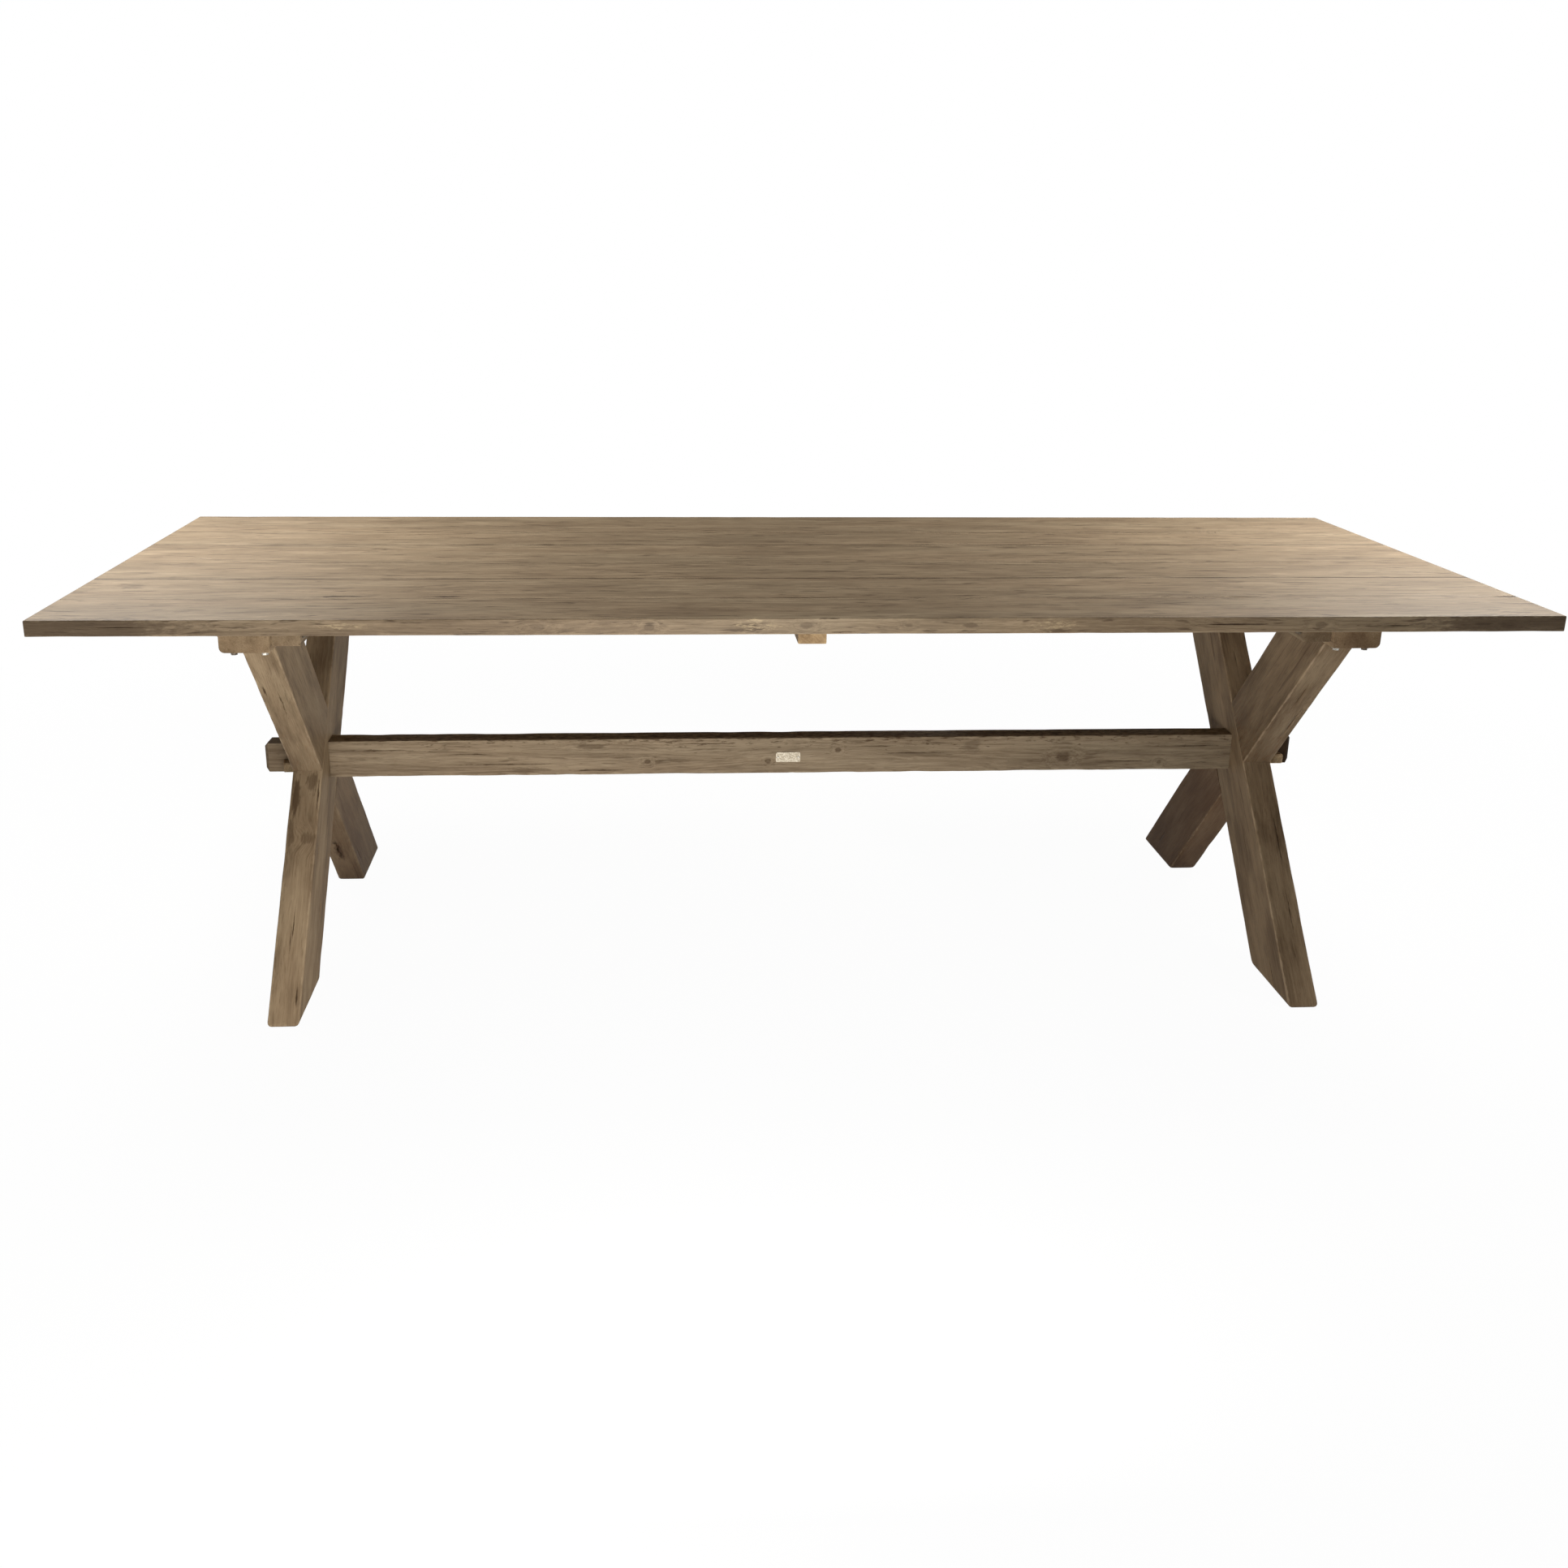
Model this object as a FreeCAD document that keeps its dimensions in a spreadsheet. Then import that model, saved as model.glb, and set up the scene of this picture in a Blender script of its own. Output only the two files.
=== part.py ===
import FreeCAD, Part
import os
import re

import Sketcher

# Sawbuck table.  Millimetres, +Z up, +X along the length, +Y away from the front edge.
# The origin is on the floor, under the middle of the top.
# Two crossed-leg frames stand across the length.  Each carries a rail that is bolted to
# a cleat under the top, and a wedged stretcher joins their crossings.

# Driving sizes, one cell each in the sheet "Sizes".
DRIVING_SIZES = {
    # top: six staves, numbered from the front edge, glued in pairs into three boards
    "table_length": 2600,
    "table_height": 780,
    "top_thickness": 28,
    "stave_1_width": 155,
    "stave_2_width": 165,
    "stave_3_width": 148,
    "stave_4_width": 187,
    "stave_5_width": 145,
    "stave_6_width": 200,
    "top_arris": 2,
    "seam_ease": 0.6,
    "dowel_diameter": 10,
    "dowel_length": 70,
    "dowel_end_setback": 200,
    # cleats: battens across the underside of the top
    "cleat_width": 50,
    "cleat_thickness": 38,
    "cleat_inset": 82,
    "cleat_arris": 1.5,
    # rails: the top members of the two frames
    "rail_width": 85,
    "rail_thickness": 47,
    "rail_overhang": 33,
    "rail_corner": 10,
    # crossed legs
    "end_overhang": 315,
    "cross_shift": -20,
    "cross_height": 380,
    "head_setback": 213.5,
    "leg_width": 136,
    "leg_thickness": 58,
    "leg_arris": 3,
    "stub_thickness": 24,
    "stub_length": 110,
    "stub_headroom": 6,
    # stretcher and its wedged through tenons
    "stretcher_thickness": 46,
    "stretcher_height": 76,
    "stretcher_arris": 2,
    "tenon_thickness": 40,
    "tenon_height": 60,
    "tenon_rise": 4,
    "tenon_reach": 70,
    "tenon_chamfer": 7,
    "key_thick_end": 46,
    "key_thin_end": 28,
    "key_height": 20,
    "key_lift": 6,
    "key_chamfer": 3,
    "key_front_reach": 24,
    "key_back_reach": 26,
    "joint_clearance": 0.15,
    # frame bolts, through rail and cleat
    "bolt_diameter": 8,
    "bolt_head_flats": 13,
    "bolt_head_height": 5.3,
    "bolt_end_reach": 5,
    "bolt_end_setback": 30,
    "bolt_drop": 19,
    "nut_height": 6.5,
    "bolt_washer_diameter": 18,
    "bolt_washer_thickness": 1.6,
    "hole_clearance": 0.1,
    # lag screws, up through the rail ends into the top
    "lag_diameter": 6,
    "lag_head_flats": 10,
    "lag_head_height": 4,
    "lag_bite": 20,
    "lag_end_setback": 12,
    "lag_inner_setback": 11,
    "lag_outer_setback": 22,
    "lag_washer_diameter": 16,
    "lag_washer_thickness": 1.5,
    # countersunk cleat screws
    "screw_diameter": 4.5,
    "screw_head_diameter": 9,
    "screw_head_height": 4,
    "screw_bite": 16,
    "screw_bolt_spacing": 27,
    # blank plate on the stretcher
    "plate_length": 50,
    "plate_height": 21,
    "plate_thickness": 1.2,
    "plate_corner": 3,
    "plate_drop": 3,
    "pin_diameter": 2,
    "pin_head_diameter": 4.2,
    "pin_head_height": 1.2,
    "pin_bite": 9,
    "pin_end_setback": 4,
}

# Sizes worked out from the driving ones.
DERIVED_SIZES = {
    "top_width": "stave_1_width + stave_2_width + stave_3_width"
                 " + stave_4_width + stave_5_width + stave_6_width",
    "half_length": "table_length / 2",
    "half_width": "top_width / 2",
    "top_under": "table_height - top_thickness",
    "seam_0": "-half_width",
    "seam_1": "seam_0 + stave_1_width",
    "seam_2": "seam_1 + stave_2_width",
    "seam_3": "seam_2 + stave_3_width",
    "seam_4": "seam_3 + stave_4_width",
    "seam_5": "seam_4 + stave_5_width",
    "seam_6": "seam_5 + stave_6_width",
    "dowel_spread": "half_length - dowel_end_setback",
    "cleat_length": "top_width - 2 * cleat_inset",
    "cleat_front": "-cleat_length / 2",
    "cleat_under": "top_under - cleat_thickness",
    "rail_under": "top_under - rail_thickness",
    "outer_face": "half_length - end_overhang",
    "inner_face": "outer_face - leg_thickness",
    # a leg's slope: rise and run from the crossing to its head, on its centre line
    "head_rise": "rail_under - cross_height",
    "head_run": "half_width - head_setback",
    "head_slant": "sqrt(head_rise * head_rise + head_run * head_run)",
    "leg_sine": "head_rise / head_slant",
    "leg_cosine": "head_run / head_slant",
    "half_slant": "leg_width / (2 * leg_sine)",
    "half_rail": "head_run + half_slant + rail_overhang",
    "rail_front": "cross_shift - half_rail",
    "stub_height": "rail_thickness - bolt_drop - bolt_hole / 2 - stub_headroom",
    "tenon_end": "outer_face + tenon_reach",
    "key_under": "tenon_rise - tenon_height / 2 + key_lift",
    "key_front": "-tenon_thickness / 2 - key_front_reach",
    "key_back": "tenon_thickness / 2 + key_back_reach",
    "bolt_height": "top_under - bolt_drop",
    "bolt_hole": "bolt_diameter + 2 * hole_clearance",
    "bolt_inner": "inner_face - cleat_width",
    "bolt_outer": "inner_face + rail_width",
    "bolt_grip": "cleat_width + rail_width + 2 * bolt_washer_thickness",
    "bolt_spread": "half_rail - bolt_end_setback",
    "outer_screw_spread": "bolt_spread - screw_bolt_spacing",
    "lag_hole": "lag_diameter + 2 * hole_clearance",
    "screw_hole": "screw_diameter + 2 * hole_clearance",
    "pin_hole": "pin_diameter + 2 * hole_clearance",
    "plate_centre": "cross_height - plate_drop",
    "plate_back": "cross_shift - stretcher_thickness / 2",
    "pin_spread": "plate_length / 2 - pin_end_setback",
}

STAVES = 6
BOARD_SEAMS = (2, 4)
DOWELS_PER_SEAM = 5
BOLT_PLACES = ("-bolt_spread", "0", "bolt_spread")
SIDES = {"left": -1, "right": 1}

ALONG_X = FreeCAD.Vector(1, 0, 0)
ALONG_Y = FreeCAD.Vector(0, 1, 0)
ALONG_Z = FreeCAD.Vector(0, 0, 1)
# turns that lay a piece's own Z axis along a table axis
UPRIGHT = FreeCAD.Rotation()
LAID_RIGHT = FreeCAD.Rotation(ALONG_Y, 90)
LAID_LEFT = FreeCAD.Rotation(ALONG_Y, -90)
LAID_BACK = FreeCAD.Rotation(ALONG_X, -90)

HEX_SIDES = 6
HEX_FLATS_PER_CORNERS = "cos(30)"
# places that are nearer to each other than this are the same
SAME_PLACE = 0.001

doc = FreeCAD.newDocument("sawbuck_table")
sheet = doc.addObject("Spreadsheet::Sheet", "Sizes")
sub_parts = []


def fill_sheet():
    """Write each driving size into its own cell and give the cell its alias."""
    for row, (alias, number) in enumerate(DRIVING_SIZES.items(), start=1):
        sheet.set("A%d" % row, alias)
        sheet.set("B%d" % row, str(number))
        sheet.setAlias("B%d" % row, alias)
    doc.recompute()


def formula(text):
    """Turn a rule in size names into an expression on the sheet's cells."""
    def spell(word):
        name = word.group(0)
        if name in DERIVED_SIZES:
            return "(" + formula(DERIVED_SIZES[name]) + ")"
        if name in DRIVING_SIZES:
            return "Sizes." + name
        return name
    return re.sub(r"[a-z][a-z_0-9]*", spell, text)


def value(text):
    """The number that a rule in size names gives now."""
    return float(sheet.evalExpression(formula(text)))


def bind(thing, **rules):
    """Tie properties to the sheet; a double underscore in a name stands for a dot."""
    for name, text in rules.items():
        thing.setExpression(name.replace("__", "."), formula(text))
    return thing


def place(thing, x="0", y="0", z="0", turn=UPRIGHT):
    """Put an object at (x, y, z), each a rule in size names, with a fixed turn."""
    thing.Placement = FreeCAD.Placement(FreeCAD.Vector(), turn)
    return bind(thing, Placement__Base__x=x, Placement__Base__y=y, Placement__Base__z=z)


def finished(thing, label):
    """Name a finished sub-part and list it for export."""
    thing.Label = label
    sub_parts.append(thing)
    return thing


# ---------------------------------------------------------------- sketched bodies

def new_body(name, x="0", y="0", z="0"):
    return place(doc.addObject("PartDesign::Body", name), x, y, z)


def outline(body, name, plane, corners, offset="0"):
    """Closed straight-sided sketch on one of the body's origin planes.

    corners are (across, up) rules in the plane's own axes; offset lifts the sketch
    along the plane's normal.
    """
    support = [item for item in body.Origin.OriginFeatures if item.Role == plane][0]
    sketch = body.newObject("Sketcher::SketchObject", name)
    sketch.AttachmentSupport = [(support, "")]
    sketch.MapMode = "FlatFace"
    bind(sketch, AttachmentOffset__Base__z=offset)
    points = [FreeCAD.Vector(value(across), value(up), 0) for across, up in corners]
    count = len(points)
    for i in range(count):
        sketch.addGeometry(Part.LineSegment(points[i], points[(i + 1) % count]), False)
    for i in range(count):
        sketch.addConstraint(Sketcher.Constraint("Coincident", i, 2, (i + 1) % count, 1))
    for i, (across, up) in enumerate(corners):
        for kind, rule in (("DistanceX", across), ("DistanceY", up)):
            limit = Sketcher.Constraint(kind, -1, 1, i, 1, value(rule))
            index = sketch.addConstraint(limit)
            sketch.setExpression("Constraints[%d]" % index, formula(rule))
    return sketch


def rectangle(low_across, low_up, high_across, high_up):
    return [(low_across, low_up), (high_across, low_up),
            (high_across, high_up), (low_across, high_up)]


def pad(body, sketch, length, side="One side", reverse=False):
    feature = body.newObject("PartDesign::Pad", "Pad")
    feature.Profile = sketch
    feature.SideType = side
    feature.Reversed = reverse
    bind(feature, Length=length)
    doc.recompute()
    return feature


def pocket(body, sketch, length, side="One side", reverse=False):
    """Cut a sketch into the body, and stop if it takes nothing away."""
    before = body.Shape.Volume
    feature = body.newObject("PartDesign::Pocket", "Pocket")
    feature.Profile = sketch
    feature.SideType = side
    feature.Reversed = reverse
    bind(feature, Length=length)
    doc.recompute()
    if body.Shape.Volume >= before:
        raise ValueError("a pocket of %s cuts nothing" % body.Name)
    return feature


def at(number, *places):
    """Whether a number is the same as one of the places."""
    return any(abs(number - place) < SAME_PLACE for place in places)


def edges_along(body, direction, test=lambda centre: True):
    """Names of the straight edges that run along a direction and pass a test.

    The test is given an edge's middle in the body's own coordinates.
    """
    names = []
    for number, edge in enumerate(body.Tip.Shape.Edges, start=1):
        run = edge.Vertexes[-1].Point - edge.Vertexes[0].Point
        runs_along = run.Length > SAME_PLACE and run.cross(direction).Length < SAME_PLACE
        if runs_along and test(edge.CenterOfMass):
            names.append("Edge%d" % number)
    return names


def round_edges(body, edges, radius):
    before = body.Tip
    feature = body.newObject("PartDesign::Fillet", "Fillet")
    feature.Base = (before, edges)
    bind(feature, Radius=radius)
    doc.recompute()


def chamfer_edges(body, edges, size):
    before = body.Tip
    feature = body.newObject("PartDesign::Chamfer", "Chamfer")
    feature.Base = (before, edges)
    bind(feature, Size=size)
    doc.recompute()


# ---------------------------------------------------------------- round and hex pieces

def rod(name, diameter, length, x="0", y="0", z="0", turn=UPRIGHT):
    """Round bar that starts at (x, y, z) and runs along the turned Z axis."""
    bar = doc.addObject("Part::Cylinder", name)
    bind(bar, Radius="(%s) / 2" % diameter, Height=length)
    return place(bar, x, y, z, turn)


def hexagon(name, flats, height, x="0", y="0", z="0", turn=UPRIGHT):
    """Hexagonal block, given its width across flats."""
    block = doc.addObject("Part::Prism", name)
    block.Polygon = HEX_SIDES
    bind(block, Height=height,
         Circumradius="(%s) / (2 * %s)" % (flats, HEX_FLATS_PER_CORNERS))
    return place(block, x, y, z, turn)


def cone(name, low_diameter, high_diameter, height, x="0", y="0", z="0"):
    taper = doc.addObject("Part::Cone", name)
    bind(taper, Radius1="(%s) / 2" % low_diameter, Radius2="(%s) / 2" % high_diameter,
         Height=height)
    return place(taper, x, y, z)


def fused(name, pieces):
    joined = doc.addObject("Part::MultiFuse", name)
    joined.Shapes = pieces
    return joined


def drilled(name, base, tools):
    """The base with every tool cut out of it."""
    group = doc.addObject("Part::Compound", name + "_holes")
    group.Links = tools
    cut = doc.addObject("Part::Cut", name)
    cut.Base = base
    cut.Tool = group
    return cut


def grouped(label, pieces):
    """Like fasteners, kept as separate solids of one sub-part."""
    group = doc.addObject("Part::Compound", label)
    group.Links = pieces
    return finished(group, label)


# ---------------------------------------------------------------- places of fasteners

def outward(side, rule):
    """A distance from the middle of the table towards the named side."""
    return rule if SIDES[side] > 0 else "-(%s)" % rule


def lag_places():
    """(x, y) of every lag screw: two at each end of each rail."""
    for side in SIDES:
        for across in ("inner_face + lag_inner_setback",
                       "inner_face + rail_width - lag_outer_setback"):
            for end in (-1, 1):
                along = "cross_shift + %d * (half_rail - lag_end_setback)" % end
                yield outward(side, across), along


def cleat_centres():
    """x of the three cleats, each against its rail's inner face or in the middle."""
    reach = "inner_face - cleat_width / 2"
    return {"left": outward("left", reach), "middle": "0", "right": reach}


def screw_rows():
    """y of a cleat's screws: one into each stave, the outer two beside the bolts."""
    rows = ["cross_shift - outer_screw_spread"]
    rows += ["(seam_%d + seam_%d) / 2" % (i, i + 1) for i in range(1, STAVES - 1)]
    rows.append("cross_shift + outer_screw_spread")
    return rows


def dowel_places():
    """x of the dowels in one seam, evenly spaced about the middle."""
    steps = DOWELS_PER_SEAM - 1
    return ["%g * dowel_spread" % (2 * i / steps - 1) for i in range(DOWELS_PER_SEAM)]


# ---------------------------------------------------------------- top

def screw_hole(name, x, y):
    """Clearance hole for a cleat screw, from below the cleat into the stave."""
    return rod(name, "screw_hole", "cleat_thickness + screw_bite", x, y, "cleat_under")


def make_staves():
    lags = list(lag_places())
    for i in range(1, STAVES + 1):
        low, high = "seam_%d" % (i - 1), "seam_%d" % i
        body = new_body("stave_%d_body" % i)
        profile = outline(body, "Section", "YZ_Plane",
                          rectangle(low, "top_under", high, "table_height"))
        pad(body, profile, "table_length", side="Symmetric")
        top = value("table_height")
        ends = value("half_length")
        sides = [value("seam_0"), value("seam_%d" % STAVES)]
        seams = [value("seam_%d" % seam) for seam in BOARD_SEAMS]
        outer = edges_along(body, ALONG_X, lambda c: at(c.y, *sides))
        outer += edges_along(body, ALONG_Y, lambda c: at(abs(c.x), ends))
        round_edges(body, outer, "top_arris")
        eased = edges_along(body, ALONG_X, lambda c: at(c.y, *seams) and at(c.z, top))
        if eased:
            chamfer_edges(body, eased, "seam_ease")

        tools = []
        for seam in BOARD_SEAMS:
            if i not in (seam, seam + 1):
                continue
            for x in dowel_places():
                tools.append(rod("dowel_hole", "dowel_diameter + 2 * hole_clearance",
                                 "dowel_length + 2 * hole_clearance", x,
                                 "seam_%d - dowel_length / 2 - hole_clearance" % seam,
                                 "top_under + top_thickness / 2", LAID_BACK))
        for x in cleat_centres().values():
            tools.append(screw_hole("screw_hole", x, screw_rows()[i - 1]))
        for x, y in lags:
            if value(low) < value(y) < value(high):
                tools.append(rod("lag_hole", "lag_hole", "rail_thickness + lag_bite",
                                 x, y, "rail_under"))
        finished(drilled("stave_%d" % i, body, tools), "top_stave_%d" % i)


def make_dowels():
    pieces = []
    for seam in BOARD_SEAMS:
        for x in dowel_places():
            pieces.append(rod("dowel", "dowel_diameter", "dowel_length", x,
                              "seam_%d - dowel_length / 2" % seam,
                              "top_under + top_thickness / 2", LAID_BACK))
    grouped("board_dowels", pieces)


# ---------------------------------------------------------------- cleats and rails

def bar_across(name, x, y, z, width, thickness, length):
    """Body of a straight bar that runs along Y from its front end at y."""
    body = new_body(name, x, y, z)
    profile = outline(body, "Section", "XZ_Plane",
                      rectangle("0", "0", width, thickness))
    pad(body, profile, length, reverse=True)
    return body


def bolt_tools(side):
    """Holes for one frame's bolts, through its cleat and rail."""
    start = "bolt_inner" if SIDES[side] > 0 else "-bolt_outer"
    return [rod("bolt_hole", "bolt_hole", "cleat_width + rail_width", start,
                "cross_shift + (%s)" % y, "bolt_height", LAID_RIGHT)
            for y in BOLT_PLACES]


def make_cleats():
    for name, centre in cleat_centres().items():
        body = bar_across(name + "_cleat_body", "%s - cleat_width / 2" % centre,
                          "cleat_front", "cleat_under", "cleat_width",
                          "cleat_thickness", "cleat_length")
        under = edges_along(body, ALONG_Y, lambda c: at(c.z, 0))
        round_edges(body, under, "cleat_arris")
        tools = []
        for y in screw_rows():
            tools.append(screw_hole("screw_hole", centre, y))
            tools.append(cone("screw_sink", "screw_head_diameter + 2 * hole_clearance",
                              "screw_hole", "screw_head_height", centre, y,
                              "cleat_under"))
        if name in SIDES:
            tools += bolt_tools(name)
        finished(drilled(name + "_cleat_cut", body, tools), name + "_cleat")


def make_rails():
    for side, sign in SIDES.items():
        start = "inner_face" if sign > 0 else "-inner_face - rail_width"
        body = bar_across(side + "_rail_body", start, "rail_front", "rail_under",
                          "rail_width", "rail_thickness", "2 * half_rail")
        outer = value("rail_width") if sign > 0 else 0
        lower = edges_along(body, ALONG_Y, lambda c: at(c.z, 0) and at(c.x, outer))
        round_edges(body, lower, "rail_corner")
        middle = "leg_thickness / 2" if sign > 0 else "rail_width - leg_thickness / 2"
        half = "(stub_thickness / 2 + joint_clearance)"
        reach = "(stub_length / 2 + joint_clearance)"
        for number, end in enumerate((-1, 1)):
            centre = "half_rail + %d * head_run" % end
            hole = outline(body, "StubMortise%d" % number, "XY_Plane",
                           rectangle("%s - %s" % (middle, half),
                                     "%s - %s" % (centre, reach),
                                     "%s + %s" % (middle, half),
                                     "%s + %s" % (centre, reach)))
            pocket(body, hole, "stub_height + joint_clearance", reverse=True)
        tools = bolt_tools(side)
        for x, y in lag_places():
            if value(x) * sign > 0:
                tools.append(rod("lag_hole", "lag_hole", "rail_thickness", x, y,
                                 "rail_under"))
        finished(drilled(side + "_rail_cut", body, tools), side + "_rail")


# ---------------------------------------------------------------- crossed legs

def slanted(way, height, edge):
    """y of a leg's edge at a height, from the crossing.

    way is +1 for the leg that leans back as it rises; edge is -1 at the edge nearer
    the front and +1 at the other.
    """
    return "%d * (%s - cross_height) * leg_cosine / leg_sine + %d * half_slant" % (
        way, height, edge)


def crossing_band(way):
    """Outline of the leg that leans the given way, where it passes the crossing."""
    along = ("leg_width * leg_cosine * %d" % way, "leg_width * leg_sine")
    across = ("leg_width * leg_sine / 2", "-leg_width * leg_cosine / 2 * %d" % way)
    corners = []
    for end, edge in ((-1, -1), (-1, 1), (1, 1), (1, -1)):
        corners.append(("%d * (%s) + %d * (%s)" % (end, along[0], edge, across[0]),
                        "cross_height + %d * (%s) + %d * (%s)"
                        % (end, along[1], edge, across[1])))
    return corners


def make_leg(side, name, way, keeps_inner):
    """One crossed leg: a slanted bar with a stub tenon, a half lap and a mortise."""
    sign = SIDES[side]
    start = "inner_face" if sign > 0 else "-outer_face"
    body = new_body("%s_%s_body" % (side, name), start, "cross_shift", "0")
    bar = outline(body, "Bar", "YZ_Plane",
                  [(slanted(way, "0", -1), "0"), (slanted(way, "0", 1), "0"),
                   (slanted(way, "rail_under", 1), "rail_under"),
                   (slanted(way, "rail_under", -1), "rail_under")])
    pad(body, bar, "leg_thickness")
    lean = FreeCAD.Vector(0, way * value("leg_cosine"), value("leg_sine"))
    round_edges(body, edges_along(body, lean), "leg_arris")

    centre = "%d * head_run" % way
    stub = outline(body, "Stub", "XY_Plane",
                   rectangle("leg_thickness / 2 - stub_thickness / 2",
                             "%s - stub_length / 2" % centre,
                             "leg_thickness / 2 + stub_thickness / 2",
                             "%s + stub_length / 2" % centre), offset="rail_under")
    pad(body, stub, "stub_height")

    lap = outline(body, "Lap", "YZ_Plane", crossing_band(-way),
                  offset="leg_thickness / 2")
    cut_towards_plus_x = keeps_inner == (sign > 0)
    pocket(body, lap, "leg_thickness", reverse=cut_towards_plus_x)

    low = "cross_height + tenon_rise - tenon_height / 2 - joint_clearance"
    high = "cross_height + tenon_rise + tenon_height / 2 + joint_clearance"
    half = "(tenon_thickness / 2 + joint_clearance)"
    mortise = outline(body, "Mortise", "YZ_Plane",
                      rectangle("-%s" % half, low, half, high))
    pocket(body, mortise, "2 * leg_thickness", side="Symmetric")
    finished(body, "%s_%s" % (side, name))


def make_legs():
    for side in SIDES:
        make_leg(side, "front_leg", 1, keeps_inner=True)
        make_leg(side, "rear_leg", -1, keeps_inner=False)


# ---------------------------------------------------------------- stretcher and keys

def key_outline(side, slack):
    """Plan of a key against its frame's outer face, from the crossing line.

    The right key is driven in from the front and the left one from the back, so
    their thick ends face opposite ways.
    """
    front, back = ("thick", "thin") if SIDES[side] > 0 else ("thin", "thick")
    near = outward(side, "outer_face")
    far_front = outward(side, "(outer_face + key_%s_end + %s)" % (front, slack))
    far_back = outward(side, "(outer_face + key_%s_end + %s)" % (back, slack))
    return [(near, "key_front"), (far_front, "key_front"),
            (far_back, "key_back"), (near, "key_back")]


def make_stretcher():
    body = new_body("stretcher_body", "0", "cross_shift", "cross_height")
    section = outline(body, "Section", "YZ_Plane",
                      rectangle("-stretcher_thickness / 2", "-stretcher_height / 2",
                                "stretcher_thickness / 2", "stretcher_height / 2"))
    pad(body, section, "2 * inner_face", side="Symmetric")
    round_edges(body, edges_along(body, ALONG_X), "stretcher_arris")
    tenon = outline(body, "Tenon", "YZ_Plane",
                    rectangle("-tenon_thickness / 2", "tenon_rise - tenon_height / 2",
                              "tenon_thickness / 2", "tenon_rise + tenon_height / 2"))
    pad(body, tenon, "2 * tenon_end", side="Symmetric")
    end = value("tenon_end")
    ends = edges_along(body, ALONG_Y, lambda c: at(abs(c.x), end))
    ends += edges_along(body, ALONG_Z, lambda c: at(abs(c.x), end))
    chamfer_edges(body, ends, "tenon_chamfer")
    for side in SIDES:
        slot = outline(body, side.title() + "Slot", "XY_Plane",
                       key_outline(side, "joint_clearance"),
                       offset="key_under - joint_clearance")
        pocket(body, slot, "key_height + 2 * joint_clearance", reverse=True)
    tools = [rod("pin_hole", "pin_hole", "pin_bite + hole_clearance",
                 "%d * pin_spread" % end, "plate_back", "plate_centre", LAID_BACK)
             for end in (-1, 1)]
    finished(drilled("stretcher_cut", body, tools), "stretcher")


def make_keys():
    for side in SIDES:
        body = new_body(side + "_key_body", "0", "cross_shift", "cross_height")
        plan = outline(body, "Plan", "XY_Plane", key_outline(side, "0"),
                       offset="key_under")
        pad(body, plan, "key_height")
        front, back = value("key_front"), value("key_back")
        ends = edges_along(body, ALONG_X, lambda c: at(c.y, front, back))
        chamfer_edges(body, ends, "key_chamfer")
        finished(body, side + "_tusk_key")


# ---------------------------------------------------------------- plate

def make_plate():
    body = new_body("plate_body", "0", "plate_back", "plate_centre")
    face = outline(body, "Face", "XZ_Plane",
                   rectangle("-plate_length / 2", "-plate_height / 2",
                             "plate_length / 2", "plate_height / 2"))
    pad(body, face, "plate_thickness")
    round_edges(body, edges_along(body, ALONG_Y), "plate_corner")
    tools = [rod("plate_hole", "pin_hole", "plate_thickness",
                 "%d * pin_spread" % end, "plate_back - plate_thickness",
                 "plate_centre", LAID_BACK)
             for end in (-1, 1)]
    finished(drilled("plate_cut", body, tools), "blank_plate")


def make_plate_pins():
    """Dome-headed pins: a short flared head on a round shank."""
    pins = []
    for end in (-1, 1):
        x = "%d * pin_spread" % end
        front = "plate_back - plate_thickness"
        shank = rod("pin_shank", "pin_diameter", "plate_thickness + pin_bite", x,
                    front, "plate_centre", LAID_BACK)
        head = cone("pin_head", "pin_diameter", "pin_head_diameter",
                    "pin_head_height")
        place(head, x, "%s - pin_head_height" % front, "plate_centre", LAID_BACK)
        pins.append(fused("pin", [shank, head]))
    grouped("plate_pins", pins)


# ---------------------------------------------------------------- fasteners

def make_bolts():
    bolts, washers, nuts = [], [], []
    for side, sign in SIDES.items():
        inner = outward(side, "bolt_inner")
        for along in BOLT_PLACES:
            y = "cross_shift + (%s)" % along
            turn = LAID_RIGHT if sign > 0 else LAID_LEFT
            step = "%s - %d * " % (inner, sign)
            head = hexagon("bolt_head", "bolt_head_flats", "bolt_head_height",
                           step + "(bolt_washer_thickness + bolt_head_height)", y,
                           "bolt_height", turn)
            shank = rod("bolt_shank", "bolt_diameter",
                        "bolt_grip + nut_height + bolt_end_reach",
                        step + "bolt_washer_thickness", y, "bolt_height", turn)
            bolts.append(fused("bolt", [head, shank]))
            outer = outward(side, "bolt_outer")
            starts = (step + "bolt_washer_thickness", outer)
            for start in starts:
                ring = rod("washer_disc", "bolt_washer_diameter",
                           "bolt_washer_thickness", start, y, "bolt_height", turn)
                bore = rod("washer_bore", "bolt_hole", "bolt_washer_thickness", start,
                           y, "bolt_height", turn)
                washers.append(drilled("bolt_washer", ring, [bore]))
            nut_start = "%s + %d * bolt_washer_thickness" % (outer, sign)
            block = hexagon("nut_block", "bolt_head_flats", "nut_height", nut_start, y,
                            "bolt_height", turn)
            bore = rod("nut_bore", "bolt_hole", "nut_height", nut_start, y,
                       "bolt_height", turn)
            nuts.append(drilled("nut", block, [bore]))
    grouped("frame_bolts", bolts)
    grouped("bolt_washers", washers)
    grouped("bolt_nuts", nuts)


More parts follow.
